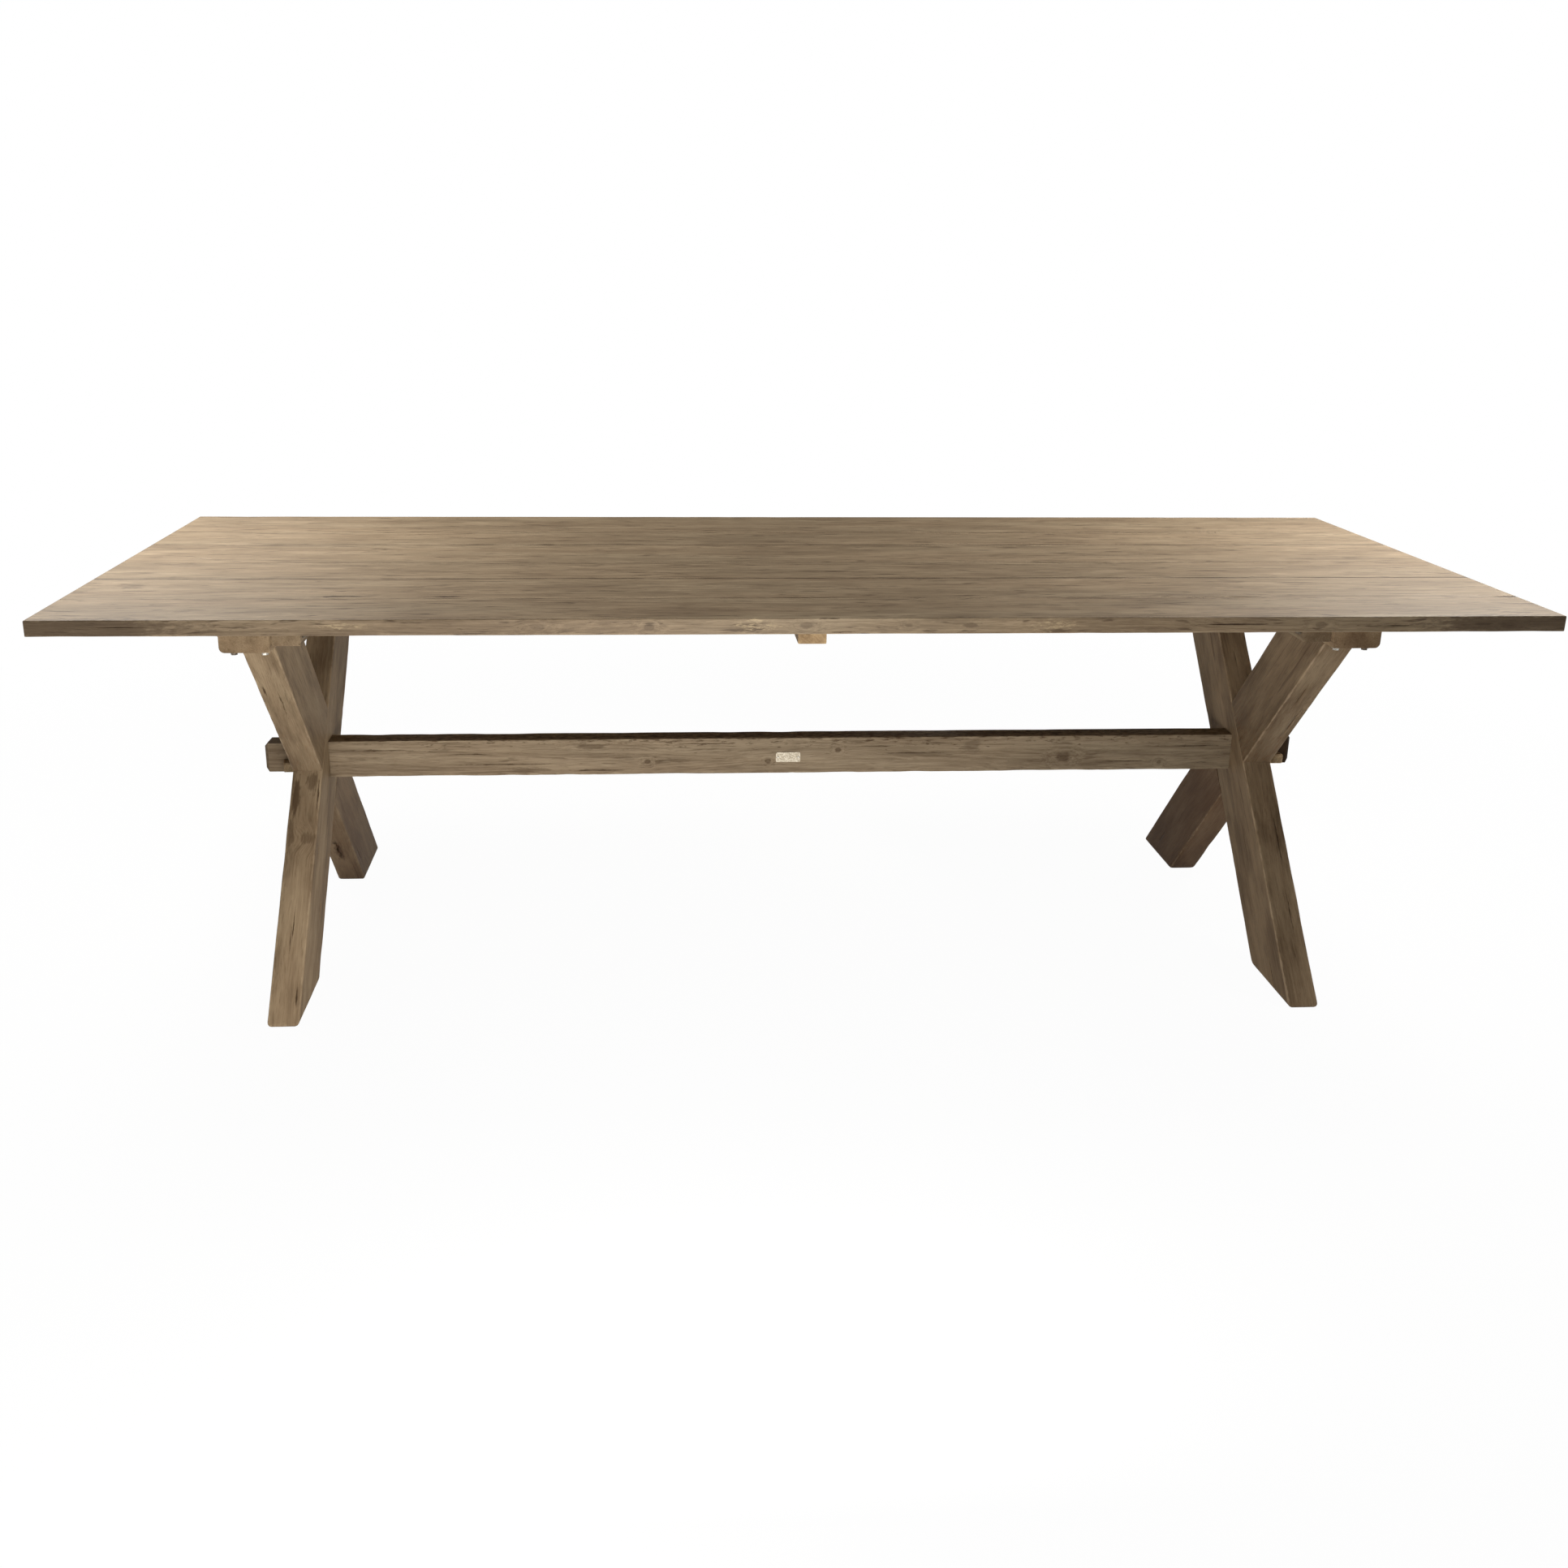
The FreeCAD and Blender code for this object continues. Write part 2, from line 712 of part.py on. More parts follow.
def make_lags():
    lags, washers = [], []
    for x, y in lag_places():
        seat = "rail_under - lag_washer_thickness"
        head = hexagon("lag_head", "lag_head_flats", "lag_head_height", x, y,
                       "%s - lag_head_height" % seat)
        shank = rod("lag_shank", "lag_diameter",
                    "lag_washer_thickness + rail_thickness + lag_bite", x, y, seat)
        lags.append(fused("lag", [head, shank]))
        ring = rod("lag_washer_disc", "lag_washer_diameter", "lag_washer_thickness",
                   x, y, seat)
        bore = rod("lag_washer_bore", "lag_hole", "lag_washer_thickness", x, y, seat)
        washers.append(drilled("lag_washer", ring, [bore]))
    grouped("rail_lag_screws", lags)
    grouped("lag_washers", washers)


def make_cleat_screws():
    screws = []
    for x in cleat_centres().values():
        for y in screw_rows():
            head = cone("screw_head", "screw_head_diameter", "screw_diameter",
                        "screw_head_height", x, y, "cleat_under")
            shank = rod("screw_shank", "screw_diameter", "cleat_thickness + screw_bite",
                        x, y, "cleat_under")
            screws.append(fused("screw", [head, shank]))
    grouped("cleat_screws", screws)


# ---------------------------------------------------------------- check and export

def check_document():
    """Stop at any object that failed, or any sub-part without a sound solid."""
    doc.recompute()
    for thing in doc.Objects:
        if "Invalid" in thing.State or "Error" in thing.State:
            raise ValueError("%s did not recompute" % thing.Label)
    for part in sub_parts:
        if part.Shape.isNull() or not part.Shape.isValid() or not part.Shape.Solids:
            raise ValueError("%s has no sound solid" % part.Label)


def export_parts():
    os.makedirs("parts", exist_ok=True)
    for part in sub_parts:
        part.Shape.exportStep("parts/%s.step" % part.Label)
        box = part.Shape.BoundBox
        print("%-18s %2d solid(s)  x %7.1f..%7.1f  y %6.1f..%6.1f  z %6.1f..%6.1f"
              % (part.Label, len(part.Shape.Solids), box.XMin, box.XMax, box.YMin,
                 box.YMax, box.ZMin, box.ZMax))


fill_sheet()
make_staves()
make_dowels()
make_cleats()
make_rails()
make_legs()
make_stretcher()
make_keys()
make_plate()
make_plate_pins()
make_bolts()
make_lags()
make_cleat_screws()
check_document()
export_parts()
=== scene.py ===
"""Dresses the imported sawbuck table: weathered wood, zinc hardware, studio and camera.

Lengths are in metres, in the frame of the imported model: +X along the top, +Y away
from the front edge, +Z up, with the floor at zero.
"""
import logging
import math
from dataclasses import dataclass, field, replace
from enum import Enum

import bmesh
import bpy
import numpy as np
from mathutils import Euler, Matrix, Vector


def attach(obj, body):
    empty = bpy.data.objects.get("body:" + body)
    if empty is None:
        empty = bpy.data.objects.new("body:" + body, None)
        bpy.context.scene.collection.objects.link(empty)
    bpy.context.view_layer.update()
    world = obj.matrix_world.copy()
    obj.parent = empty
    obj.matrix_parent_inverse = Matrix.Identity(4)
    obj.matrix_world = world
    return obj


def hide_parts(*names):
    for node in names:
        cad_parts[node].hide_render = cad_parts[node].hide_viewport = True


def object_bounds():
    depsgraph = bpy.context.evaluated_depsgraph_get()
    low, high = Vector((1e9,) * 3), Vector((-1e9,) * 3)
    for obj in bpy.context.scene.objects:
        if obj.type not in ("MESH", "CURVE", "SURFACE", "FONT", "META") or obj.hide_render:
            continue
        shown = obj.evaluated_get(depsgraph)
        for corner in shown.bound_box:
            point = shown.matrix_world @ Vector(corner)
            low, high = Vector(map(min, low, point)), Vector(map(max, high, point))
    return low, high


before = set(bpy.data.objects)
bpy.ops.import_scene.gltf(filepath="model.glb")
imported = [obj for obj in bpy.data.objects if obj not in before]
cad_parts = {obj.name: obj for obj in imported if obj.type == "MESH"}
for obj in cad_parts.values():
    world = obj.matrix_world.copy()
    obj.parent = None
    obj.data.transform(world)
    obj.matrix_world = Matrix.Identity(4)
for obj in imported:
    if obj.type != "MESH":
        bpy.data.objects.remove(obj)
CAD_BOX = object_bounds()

log = logging.getLogger("sawbuck_table")

Colour = tuple[float, float, float]
Point = tuple[float, float, float]
Socket = bpy.types.NodeSocket

FRONT_EDGE = float(CAD_BOX[0][1])
TOP_FACE = float(CAD_BOX[1][2])

# A leg rises by LEG_RISE over a run of LEG_RUN.
LEG_RISE = 0.325
LEG_RUN = 0.2865
LEG_SLOPE = math.atan2(LEG_RISE, LEG_RUN)


def srgb(red: int, green: int, blue: int) -> Colour:
    """Turn an 8-bit display colour into linear light.

    Args:
        red, green, blue: the display values, from 0 to 255.

    Returns:
        The three linear values, from 0 to 1.
    """
    def linear(value: int) -> float:
        """One display value as linear light."""
        share = value / 255
        return share / 12.92 if share <= 0.04045 else ((share + 0.055) / 1.055) ** 2.4
    return linear(red), linear(green), linear(blue)


# ---------------------------------------------------------------- shader graph helper

@dataclass(frozen=True)
class Layer:
    """A layer of noise, which steps from start to end as it goes from low to high.

    cells is how fine it is, in cells per metre along the grain and across it.
    """

    cells: Point
    low: float
    high: float
    detail: float = 3.0
    rough: float = 0.6
    start: float = 0.0
    end: float = 1.0


class Graph:
    """Adds shader nodes to one material or world and wires them together."""

    def __init__(self, owner: bpy.types.ID, output: str = "ShaderNodeOutputMaterial",
                 shader: str = "ShaderNodeBsdfPrincipled") -> None:
        """Start from an empty node tree with one shader and an output.

        Args:
            owner: the material or world that the nodes belong to.
            output: the type of its output node.
            shader: the type of its main shader.
        """
        owner.use_nodes = True
        self.tree = owner.node_tree
        self.tree.nodes.clear()
        self.output = self.add(output)
        self.shader = self.add(shader)
        self.feed(self.output.inputs["Surface"], self.shader.outputs[0])

    def add(self, kind: str, inputs: dict[object, object] | None = None,
            **settings: object) -> bpy.types.Node:
        """Make a node.

        Args:
            kind: its type.
            inputs: what goes into its inputs, by name or number.
            settings: its own properties.

        Returns:
            The node.
        """
        node = self.tree.nodes.new(kind)
        for name, value in settings.items():
            setattr(node, name, value)
        for name, value in (inputs or {}).items():
            self.feed(node.inputs[name], value)
        return node

    def feed(self, socket: Socket, value: object) -> None:
        """Give an input its value.

        Args:
            socket: the input.
            value: a number, a colour, a vector or another node's output.
        """
        if isinstance(value, Socket):
            self.tree.links.new(value, socket)
        elif socket.type == "RGBA":
            socket.default_value = (*value, 1.0)
        else:
            socket.default_value = value

    def math(self, operation: str, first: object, second: object = 0.0) -> Socket:
        """Arithmetic on one or two numbers."""
        return self.add("ShaderNodeMath", {0: first, 1: second},
                        operation=operation).outputs[0]

    def layered(self, base: object, *layers: tuple[object, float]) -> Socket:
        """Add layers to a number, each times its share.

        Args:
            base: the number.
            layers: for each layer its value and its share.

        Returns:
            The sum.
        """
        for layer, share in layers:
            base = self.math("ADD", base, self.math("MULTIPLY", layer, share))
        return base

    def swing(self, noise: object, reach: float) -> Socket:
        """Noise as a swing about zero, by half of the reach at most."""
        return self.math("MULTIPLY", self.math("SUBTRACT", noise, 0.5), reach)

    def vector(self, operation: str, first: object, second: object = (0.0, 0.0, 0.0),
               output: str = "Vector") -> Socket:
        """Arithmetic on one or two vectors."""
        return self.add("ShaderNodeVectorMath", {0: first, 1: second},
                        operation=operation).outputs[output]

    def length(self, place: object) -> Socket:
        """How far a place is from the origin."""
        return self.vector("LENGTH", place, output="Value")

    def axes(self, place: object) -> bpy.types.bpy_prop_collection:
        """The three numbers of a place."""
        return self.add("ShaderNodeSeparateXYZ", {0: place}).outputs

    def noise(self, place: object, scales: Point, detail: float = 3.0,
              rough: float = 0.55) -> Socket:
        """Noise whose cells are 1/scale metres long along each axis."""
        inputs = {"Vector": self.vector("MULTIPLY", place, scales), "Scale": 1.0,
                  "Detail": detail, "Roughness": rough}
        return self.add("ShaderNodeTexNoise", inputs).outputs["Fac"]

    def layer(self, place: object, layer: Layer) -> Socket:
        """One layer of noise at a place."""
        noise = self.noise(place, layer.cells, layer.detail, layer.rough)
        return self.span(noise, layer.low, layer.high, layer.start, layer.end)

    def line_noise(self, along: object, detail: float = 3.0, rough: float = 0.6) -> Socket:
        """Noise of a single number."""
        inputs = {"W": along, "Scale": 1.0, "Detail": detail, "Roughness": rough}
        return self.add("ShaderNodeTexNoise", inputs, noise_dimensions="1D").outputs["Fac"]

    def span(self, value: object, low: float, high: float, start: float = 0.0,
             end: float = 1.0) -> Socket:
        """Smooth step from start to end while the value goes from low to high."""
        inputs = {"Value": value, "From Min": low, "From Max": high, "To Min": start,
                  "To Max": end}
        return self.add("ShaderNodeMapRange", inputs,
                        interpolation_type="SMOOTHSTEP").outputs["Result"]

    def mix(self, share: object, first: object, second: object,
            blend: str = "MIX") -> Socket:
        """Mix two colours."""
        return self.add("ShaderNodeMix", {0: share, 6: first, 7: second},
                        data_type="RGBA", blend_type=blend).outputs[2]

    def tinted(self, colour: object, tint: object) -> Socket:
        """A colour times a tint or a number."""
        return self.mix(1.0, colour, tint, "MULTIPLY")

    def blend(self, share: object, first: Socket, second: Socket) -> Socket:
        """Mix two shaders."""
        return self.add("ShaderNodeMixShader", {0: share, 1: first, 2: second}).outputs[0]

    def ramp(self, value: object, *stops: tuple[float, Colour]) -> Socket:
        """Colour ramp.

        Args:
            value: the place on the ramp, from 0 to 1.
            stops: each stop's place and colour.

        Returns:
            The colour.
        """
        node = self.add("ShaderNodeValToRGB", {"Fac": value})
        bands = node.color_ramp.elements
        while len(bands) < len(stops):
            bands.new(1.0)
        for band, (place, colour) in zip(bands, stops):
            band.position = place
            band.color = (*colour, 1.0)
        return node.outputs["Color"]

    def object_place(self) -> Socket:
        """The point's place in the piece's own coordinates."""
        return self.add("ShaderNodeTexCoord").outputs["Object"]

    def mapped(self, place: object, turn: Point, shift: Point) -> Socket:
        """The place after a turn and a shift."""
        inputs = {"Vector": place, "Rotation": turn, "Location": shift}
        return self.add("ShaderNodeMapping", inputs, vector_type="POINT").outputs["Vector"]

    def bump(self, height: object, strength: float, distance: float) -> Socket:
        """Normal of a surface whose relief follows a height from 0 to 1."""
        inputs = {"Height": height, "Strength": strength, "Distance": distance}
        return self.add("ShaderNodeBump", inputs).outputs["Normal"]


# ---------------------------------------------------------------- timber shapes

class Lay(Enum):
    """Which way a timber's grain runs, as the turn that brings it onto +X."""

    LENGTHWAYS = (0.0, 0.0, 0.0)
    CROSSWAYS = (0.0, 0.0, -math.pi / 2)
    FRONT_LEG = (-LEG_SLOPE, 0.0, -math.pi / 2)
    REAR_LEG = (LEG_SLOPE, 0.0, -math.pi / 2)

    def turn(self) -> np.ndarray:
        """The turn as a 3 by 3 matrix, from the table's directions to the log's."""
        return np.array(Euler(self.value).to_matrix())


def corners_of(mesh: bpy.types.Mesh) -> np.ndarray:
    """Read the places of a mesh's corners.

    Args:
        mesh: the mesh.

    Returns:
        The places, one row each.
    """
    flat = np.empty(len(mesh.vertices) * 3)
    mesh.vertices.foreach_get("co", flat)
    return flat.reshape(-1, 3)


@dataclass(frozen=True)
class LogBox:
    """A timber's box in its log's directions: along the grain, then the two across."""

    turn: np.ndarray
    low: np.ndarray
    high: np.ndarray

    @classmethod
    def of_node(cls, node: str, lay: Lay) -> "LogBox":
        """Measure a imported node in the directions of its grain.

        Args:
            node: the node.
            lay: the direction of its grain.

        Returns:
            Its box.
        """
        turn = lay.turn()
        places = corners_of(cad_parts[node].data) @ turn.T
        return cls(turn, places.min(axis=0), places.max(axis=0))

    @property
    def middle(self) -> np.ndarray:
        """The box's centre."""
        return (self.low + self.high) / 2

    @property
    def half(self) -> np.ndarray:
        """Half of the box's three sizes."""
        return (self.high - self.low) / 2


@dataclass(frozen=True)
class SawnForm:
    """How a sawn and worn timber departs from its plain form, in metres.

    arris is the rounding of its long edges, foot the rounding of an end that stands
    on the floor, station and column the spacing of its surface's points along and
    across the grain, wave the depth of its unevenness, rub the depth to which the
    arrises are rubbed away in places, and checks the number of fine drying splits.
    """

    arris: float
    foot: float = 0.0
    station: float = 0.009
    column: float = 0.011
    wave: float = 0.00040
    rub: float = 0.0014
    checks: int = 10

    @property
    def reach(self) -> float:
        """How far from an arris its wear starts, 1.5 mm at least."""
        return max(self.arris, 0.0015)


@dataclass(frozen=True)
class Split:
    """A drying split along the grain: its two ends on a face, its width and depth."""

    start: Point
    end: Point
    width: float = 0.0014
    depth: float = 0.0030


LaidSplit = tuple[np.ndarray, np.ndarray, float, float]


def patchy(random: np.random.Generator, places: np.ndarray, cell: Point) -> np.ndarray:
    """Smooth random heights from 0 to 1 in space.

    Random values on a lattice are blended along each direction with the weight
    3t^2 - 2t^3.

    Args:
        random: the source of random values.
        places: the points, one row each.
        cell: the lattice spacing in the three directions.

    Returns:
        One height for each point.
    """
    steps = (places - places.min(axis=0)) / np.array(cell)
    lattice = random.random(tuple(np.ceil(steps.max(axis=0)).astype(int) + 2))
    corner = np.floor(steps).astype(int)
    share = steps - corner
    share = share * share * (3 - 2 * share)
    heights = np.zeros(len(places))
    for offset in np.ndindex(2, 2, 2):
        weight = np.prod(np.where(offset, share, 1 - share), axis=1)
        spot = corner + offset
        heights += weight * lattice[spot[:, 0], spot[:, 1], spot[:, 2]]
    return heights


def grown(sizes: tuple[float, float], share: float) -> float:
    """The least size, and a share of what the largest has more."""
    return sizes[0] + sizes[1] * share


class WornTimber:
    """A packed timber built again with a worn surface.

    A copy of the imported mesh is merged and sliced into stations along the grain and
    columns across it, which leaves its notches, mortises and holes as they are. Its
    points then move inwards by a relief worked out as whole arrays.

    CHECKED is the share of the length that has fine splits. Their length, width and
    depth are each the least size and what the largest has more. ARRIS_LINES is where
    planes cut beside an arris, as shares of its reach, and FOOT_LEVELS where they cut
    a foot, as shares of its rounding. The waves and cells are the sizes of the patches
    in which the surface is uneven, rubbed and chipped.
    """

    CHECKED = 0.92
    CHECK_LENGTH = (0.016, 0.080)
    CHECK_WIDTH = (0.0007, 0.0006)
    CHECK_DEPTH = (0.0012, 0.0014)
    SAME_POINT = 1e-6
    SAME_FACE = 1e-5
    FLAT_ANGLE = math.radians(0.05)
    SHARP_ANGLE = math.radians(32)
    ARRIS_LINES = np.array([1.4, 2.6])
    FOOT_LEVELS = np.array([0.08, 0.3, 0.62, 1.0])
    UPWARDS = np.array([0.0, 0.0, 1.0])
    BROAD_WAVES = (0.080, 0.030, 0.030)
    FINE_WAVES = (0.024, 0.009, 0.009)
    RUBBED_CELL = (0.055, 0.050, 0.050)
    CHIPPED_CELL = (0.014, 0.030, 0.030)

    def __init__(self, node: str, lay: Lay, form: SawnForm, seed: int,
                 splits: tuple[Split, ...] = ()) -> None:
        """Measure the node and place its splits.

        Args:
            node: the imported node.
            lay: the direction of its grain.
            form: how it is worn.
            seed: seed of its unevenness.
            splits: its larger splits, besides the fine checks.
        """
        self.node, self.form = node, form
        self.box = LogBox.of_node(node, lay)
        self.random = np.random.default_rng(seed)
        self.splits = self.checks() + [self.placed(split) for split in splits]

    def checks(self) -> list[LaidSplit]:
        """Draw the fine splits, each in its own stretch of the timber.

        Returns:
            The splits.
        """
        half = self.box.half
        splits = []
        for index in range(self.form.checks):
            flank = self.random.integers(0, 4)
            offset, size, place = self.random.random(3)
            cell = 2 * half[0] * self.CHECKED / self.form.checks
            length = min(grown(self.CHECK_LENGTH, size * size), cell * 0.9)
            start = self.box.middle.copy()
            start[0] += cell * (index + 0.1 * offset) - half[0] * self.CHECKED
            start[1 + flank // 2] += half[1 + flank // 2] * (1 - 2 * (flank % 2))
            start[2 - flank // 2] += half[2 - flank // 2] * (place - 0.5) * 1.5
            end = start + [length, 0.0, 0.0]
            splits.append((start, end, grown(self.CHECK_WIDTH, size),
                           grown(self.CHECK_DEPTH, size)))
        return splits

    def placed(self, split: Split) -> LaidSplit:
        """A split in the log's directions, its ends in order along the grain."""
        ends = sorted((self.box.turn @ np.array(end) for end in (split.start, split.end)),
                      key=lambda end: end[0])
        return ends[0], ends[1], split.width, split.depth

    def dirt(self) -> tuple["Mark", ...]:
        """Put dark dirt in every split.

        Returns:
            A mark for each split.
        """
        marks = []
        for start, end, width, _ in self.splits:
            middle = self.box.turn.T @ ((start + end) / 2)
            marks.append(Mark(MarkKind.STAIN_AND_SHADE, tuple(middle), float(end[0] - start[0]) / 2,
                              0.9 * width, 0.85))
        return tuple(marks)

    def flank_of(self, place: np.ndarray) -> int:
        """The direction across the grain in which a place on a face stands out."""
        return 1 + int(np.argmax((np.abs(place - self.box.middle) / self.box.half)[1:]))

    def columns(self, axis: int) -> list[float]:
        """Choose where planes cut across one direction.

        Args:
            axis: the direction, 1 or 2.

        Returns:
            Places spread evenly, by the arrises and by the splits.
        """
        low, high = self.box.low[axis], self.box.high[axis]
        count = max(2, round((high - low) / self.form.column))
        even = np.linspace(low, high, count + 1)[1:-1]
        edge = self.ARRIS_LINES * self.form.reach
        cuts = [*even, *(low + edge), *(high - edge)]
        for start, end, width, _ in self.splits:
            if self.flank_of(start) != axis:
                line = (start[axis] + end[axis]) / 2
                cuts += [line - width / 2, line, line + width / 2]
        return cuts

    def planes(self) -> list[tuple[np.ndarray, float]]:
        """Choose every plane that slices the copy, in the order of the cuts.

        Returns:
            For each plane its direction and its place along it.
        """
        turn, box, form = self.box.turn, self.box, self.form
        planes = [(turn[axis], cut) for axis in (1, 2) for cut in self.columns(axis)]
        if form.foot > 0:
            planes += [(self.UPWARDS, level) for level in self.FOOT_LEVELS * form.foot]
        stations = max(2, round(2 * box.half[0] / form.station))
        places = np.linspace(box.low[0], box.high[0], stations + 1)[1:-1]
        return planes + [(turn[0], cut) for cut in places]

    def sliced(self) -> bpy.types.Mesh:
        """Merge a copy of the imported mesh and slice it.

        Returns:
            The copy with its stations and columns.
        """
        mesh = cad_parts[self.node].data.copy()
        form = bmesh.new()
        form.from_mesh(mesh)
        bmesh.ops.remove_doubles(form, verts=form.verts, dist=self.SAME_POINT)
        bmesh.ops.dissolve_limit(form, angle_limit=self.FLAT_ANGLE, verts=form.verts,
                                 edges=form.edges)
        for way, cut in self.planes():
            normal = Vector(way)
            whole = form.verts[:] + form.edges[:] + form.faces[:]
            bmesh.ops.bisect_plane(form, geom=whole, dist=1e-7, plane_no=normal,
                                   plane_co=normal * float(cut))
        form.to_mesh(mesh)
        form.free()
        return mesh

    def worn(self, places: np.ndarray) -> np.ndarray:
        """Move points of the surface inwards.

        A point on a flank moves straight in by the waves, one on an arris in both
        directions, and one deeper than the reach not at all. The rub goes with
        exp(-(m / 1.5r)^2), m being the distance from the arris and r the reach.

        Args:
            places: the points in the log's directions.

        Returns:
            The moved points.
        """
        form, box, random = self.form, self.box, self.random
        offset = places - box.middle
        side = np.sign(offset[:, 1:])
        gap = box.half[1:] - np.abs(offset[:, 1:])
        near = np.clip(1 - gap / form.reach, 0, 1)
        waves = 0.65 * patchy(random, places, self.BROAD_WAVES)
        waves += 0.35 * patchy(random, places, self.FINE_WAVES)
        from_arris = np.maximum(gap[:, 0], gap[:, 1])
        rubbed = patchy(random, places, self.RUBBED_CELL) * 1.7 - 0.55
        chipped = patchy(random, places, self.CHIPPED_CELL) * 2.3 - 1.65
        wear = np.clip(rubbed, 0, 1) ** 2 + 0.6 * np.clip(chipped, 0, 1)
        wear = wear * np.exp(-(from_arris / (1.5 * form.reach)) ** 2) * near.max(axis=1)
        moved = places.copy()
        moved[:, 1:] -= side * near * (form.wave * waves)[:, None]
        moved[:, 1:] -= side * (form.rub * wear / math.sqrt(2))[:, None]
        for split in self.splits:
            self.open_split(split, places, moved)
        return moved

    def rounded_foot(self, places: np.ndarray) -> None:
        """Draw a standing end in by r - sqrt(r^2 - (r - z)^2) at the height z.

        Args:
            places: the points in the table's directions, moved as they are.
        """
        radius = self.form.foot
        foot = places[places[:, 2] < 2 * radius, :2]
        middle, half = (foot.max(axis=0) + foot.min(axis=0)) / 2, np.ptp(foot, axis=0) / 2
        places[:, 2] = np.maximum(places[:, 2], 0)
        short = np.clip(radius - places[:, 2], 0, radius)
        inset = radius - np.sqrt(radius ** 2 - short ** 2)
        places[:, :2] -= (places[:, :2] - middle) / half * inset[:, None]

    def open_split(self, split: LaidSplit, places: np.ndarray, moved: np.ndarray) -> None:
        """Sink a split's middle column by its depth times sqrt(1 - t^2).

        t goes from -1 to 1 along the split. Its three columns wander together.

        Args:
            split: the split.
            places: the points as sliced.
            moved: the same points as worn, moved as they are.
        """
        start, end, width, depth = split
        flank = self.flank_of(start)
        across = 3 - flank
        outward = math.copysign(1.0, start[flank] - self.box.middle[flank])
        surface = self.box.middle[flank] + outward * self.box.half[flank]
        t = (places[:, 0] - start[0]) / (end[0] - start[0]) * 2 - 1
        line = (start[across] + end[across]) / 2
        from_line = np.abs(places[:, across] - line)
        on_face = np.abs(places[:, flank] - surface) < self.SAME_FACE
        inside = on_face & (np.abs(t) < 1)
        lips = inside & (from_line < width * 0.51)
        middle = inside & (from_line < width * 0.02)
        swell = np.sqrt(np.clip(1 - t * t, 0, 1))
        bend = 0.35 * width * np.sin(9 * t + 1000 * line)
        moved[lips, across] += (bend * swell)[lips]
        moved[middle, flank] -= outward * depth * swell[middle]

    def mesh(self) -> bpy.types.Mesh:
        """Build the worn surface, smooth but for its real edges.

        Returns:
            The finished mesh, without a material.
        """
        mesh = self.sliced()
        turn = self.box.turn
        places = self.worn(corners_of(mesh) @ turn.T) @ turn
        if self.form.foot > 0:
            self.rounded_foot(places)
        mesh.vertices.foreach_set("co", places.ravel())
        mesh.update()
        mesh.name = self.node + "_timber"
        mesh.materials.clear()
        mesh.shade_smooth()
        mesh.set_sharp_from_angle(angle=self.SHARP_ANGLE)
        return mesh


# ---------------------------------------------------------------- wood

class MarkKind(Enum):
    """What a mark on a timber looks like."""

    KNOT = "knot"
    # Stains, and also painted shade and painted shadow where parts shade one another.
    STAIN_AND_SHADE = "stain"
    CHIP = "chip"
    # Rust, and also painted warm bounce light in shade on the rear legs.
    RUST_AND_WARM_SHADE = "rust"


@dataclass(frozen=True)
class Mark:
    """A mark on a timber: its kind, its centre, its half sizes and its strength.

    The half sizes are along the grain and across it.
    """

    kind: MarkKind
    centre: Point
    along: float
    across: float
    strength: float = 0.7


@dataclass(frozen=True)
class WoodFinish:
    """Colours and sheen of one kind of weathered timber.

    Its pattern runs from dark over body to pale, and deep is the colour of knots,
    stains, painted shade and pores. lines, figure, fibre and cloud are the shares of the
    year rings, of the streaks, of the fine fibres and of the broad patches in the
    pattern, and add up to about 1. streak and cells are how fine the streaks and the
    patches are, in cells per metre along the grain and across it. dashes is how dark the
    short streaks are, wear how much paler the rubbed arrises are, gloss the strength of
    the sheen, and relief the depth of the fine relief in metres.
    """

    name: str
    deep: Colour
    dark: Colour
    body: Colour
    pale: Colour
    lines: float = 0.20
    figure: float = 0.32
    fibre: float = 0.20
    cloud: float = 0.28
    dashes: float = 0.35
    streak: Point = (9.0, 80.0, 80.0)
    cells: Point = (2.2, 12.0, 12.0)
    wear: float = 0.40
    gloss: float = 0.05
    roughness: float = 0.62
    relief: float = 0.0005


@dataclass(frozen=True)
class Timber:
    """How one piece was cut from its log, and how it has aged.

    lay is the grain's direction, pith the log's centre line from the timber's middle
    in the two directions across the grain, and shift a slide along the log that makes
    each piece its own. tint is a warmer or cooler cast, end_tone the cast of the end
    grain, the ramp of painted light and shade how much paler or darker its two ends
    are made, rubbed how pale the line along its arrises is, and seams how dark the
    dirt is along its two glued edges.
    """

    lay: Lay
    pith: tuple[float, float]
    shift: float
    tone: float = 1.0
    tint: Colour = (1.0, 1.0, 1.0)
    end_tone: Colour = (0.80, 0.78, 0.76)
    fade: tuple[float, float] = (1.0, 1.0)
    rubbed: float = 0.0
    seams: tuple[float, float] = (0.0, 0.0)
    marks: tuple[Mark, ...] = ()


# Rust's colour, also laid thinly over the rear legs as painted warm bounce light in their
# shade.
RUST_AND_WARM_SHADE_COLOUR = srgb(120, 72, 36)
CHIP_COLOUR = srgb(214, 192, 152)
SEAM_DIRT = srgb(58, 44, 30)
RUBBED_COLOUR = srgb(200, 181, 156)
WARMER = (1.012, 0.996, 0.985)
COOLER = (0.990, 1.003, 1.006)


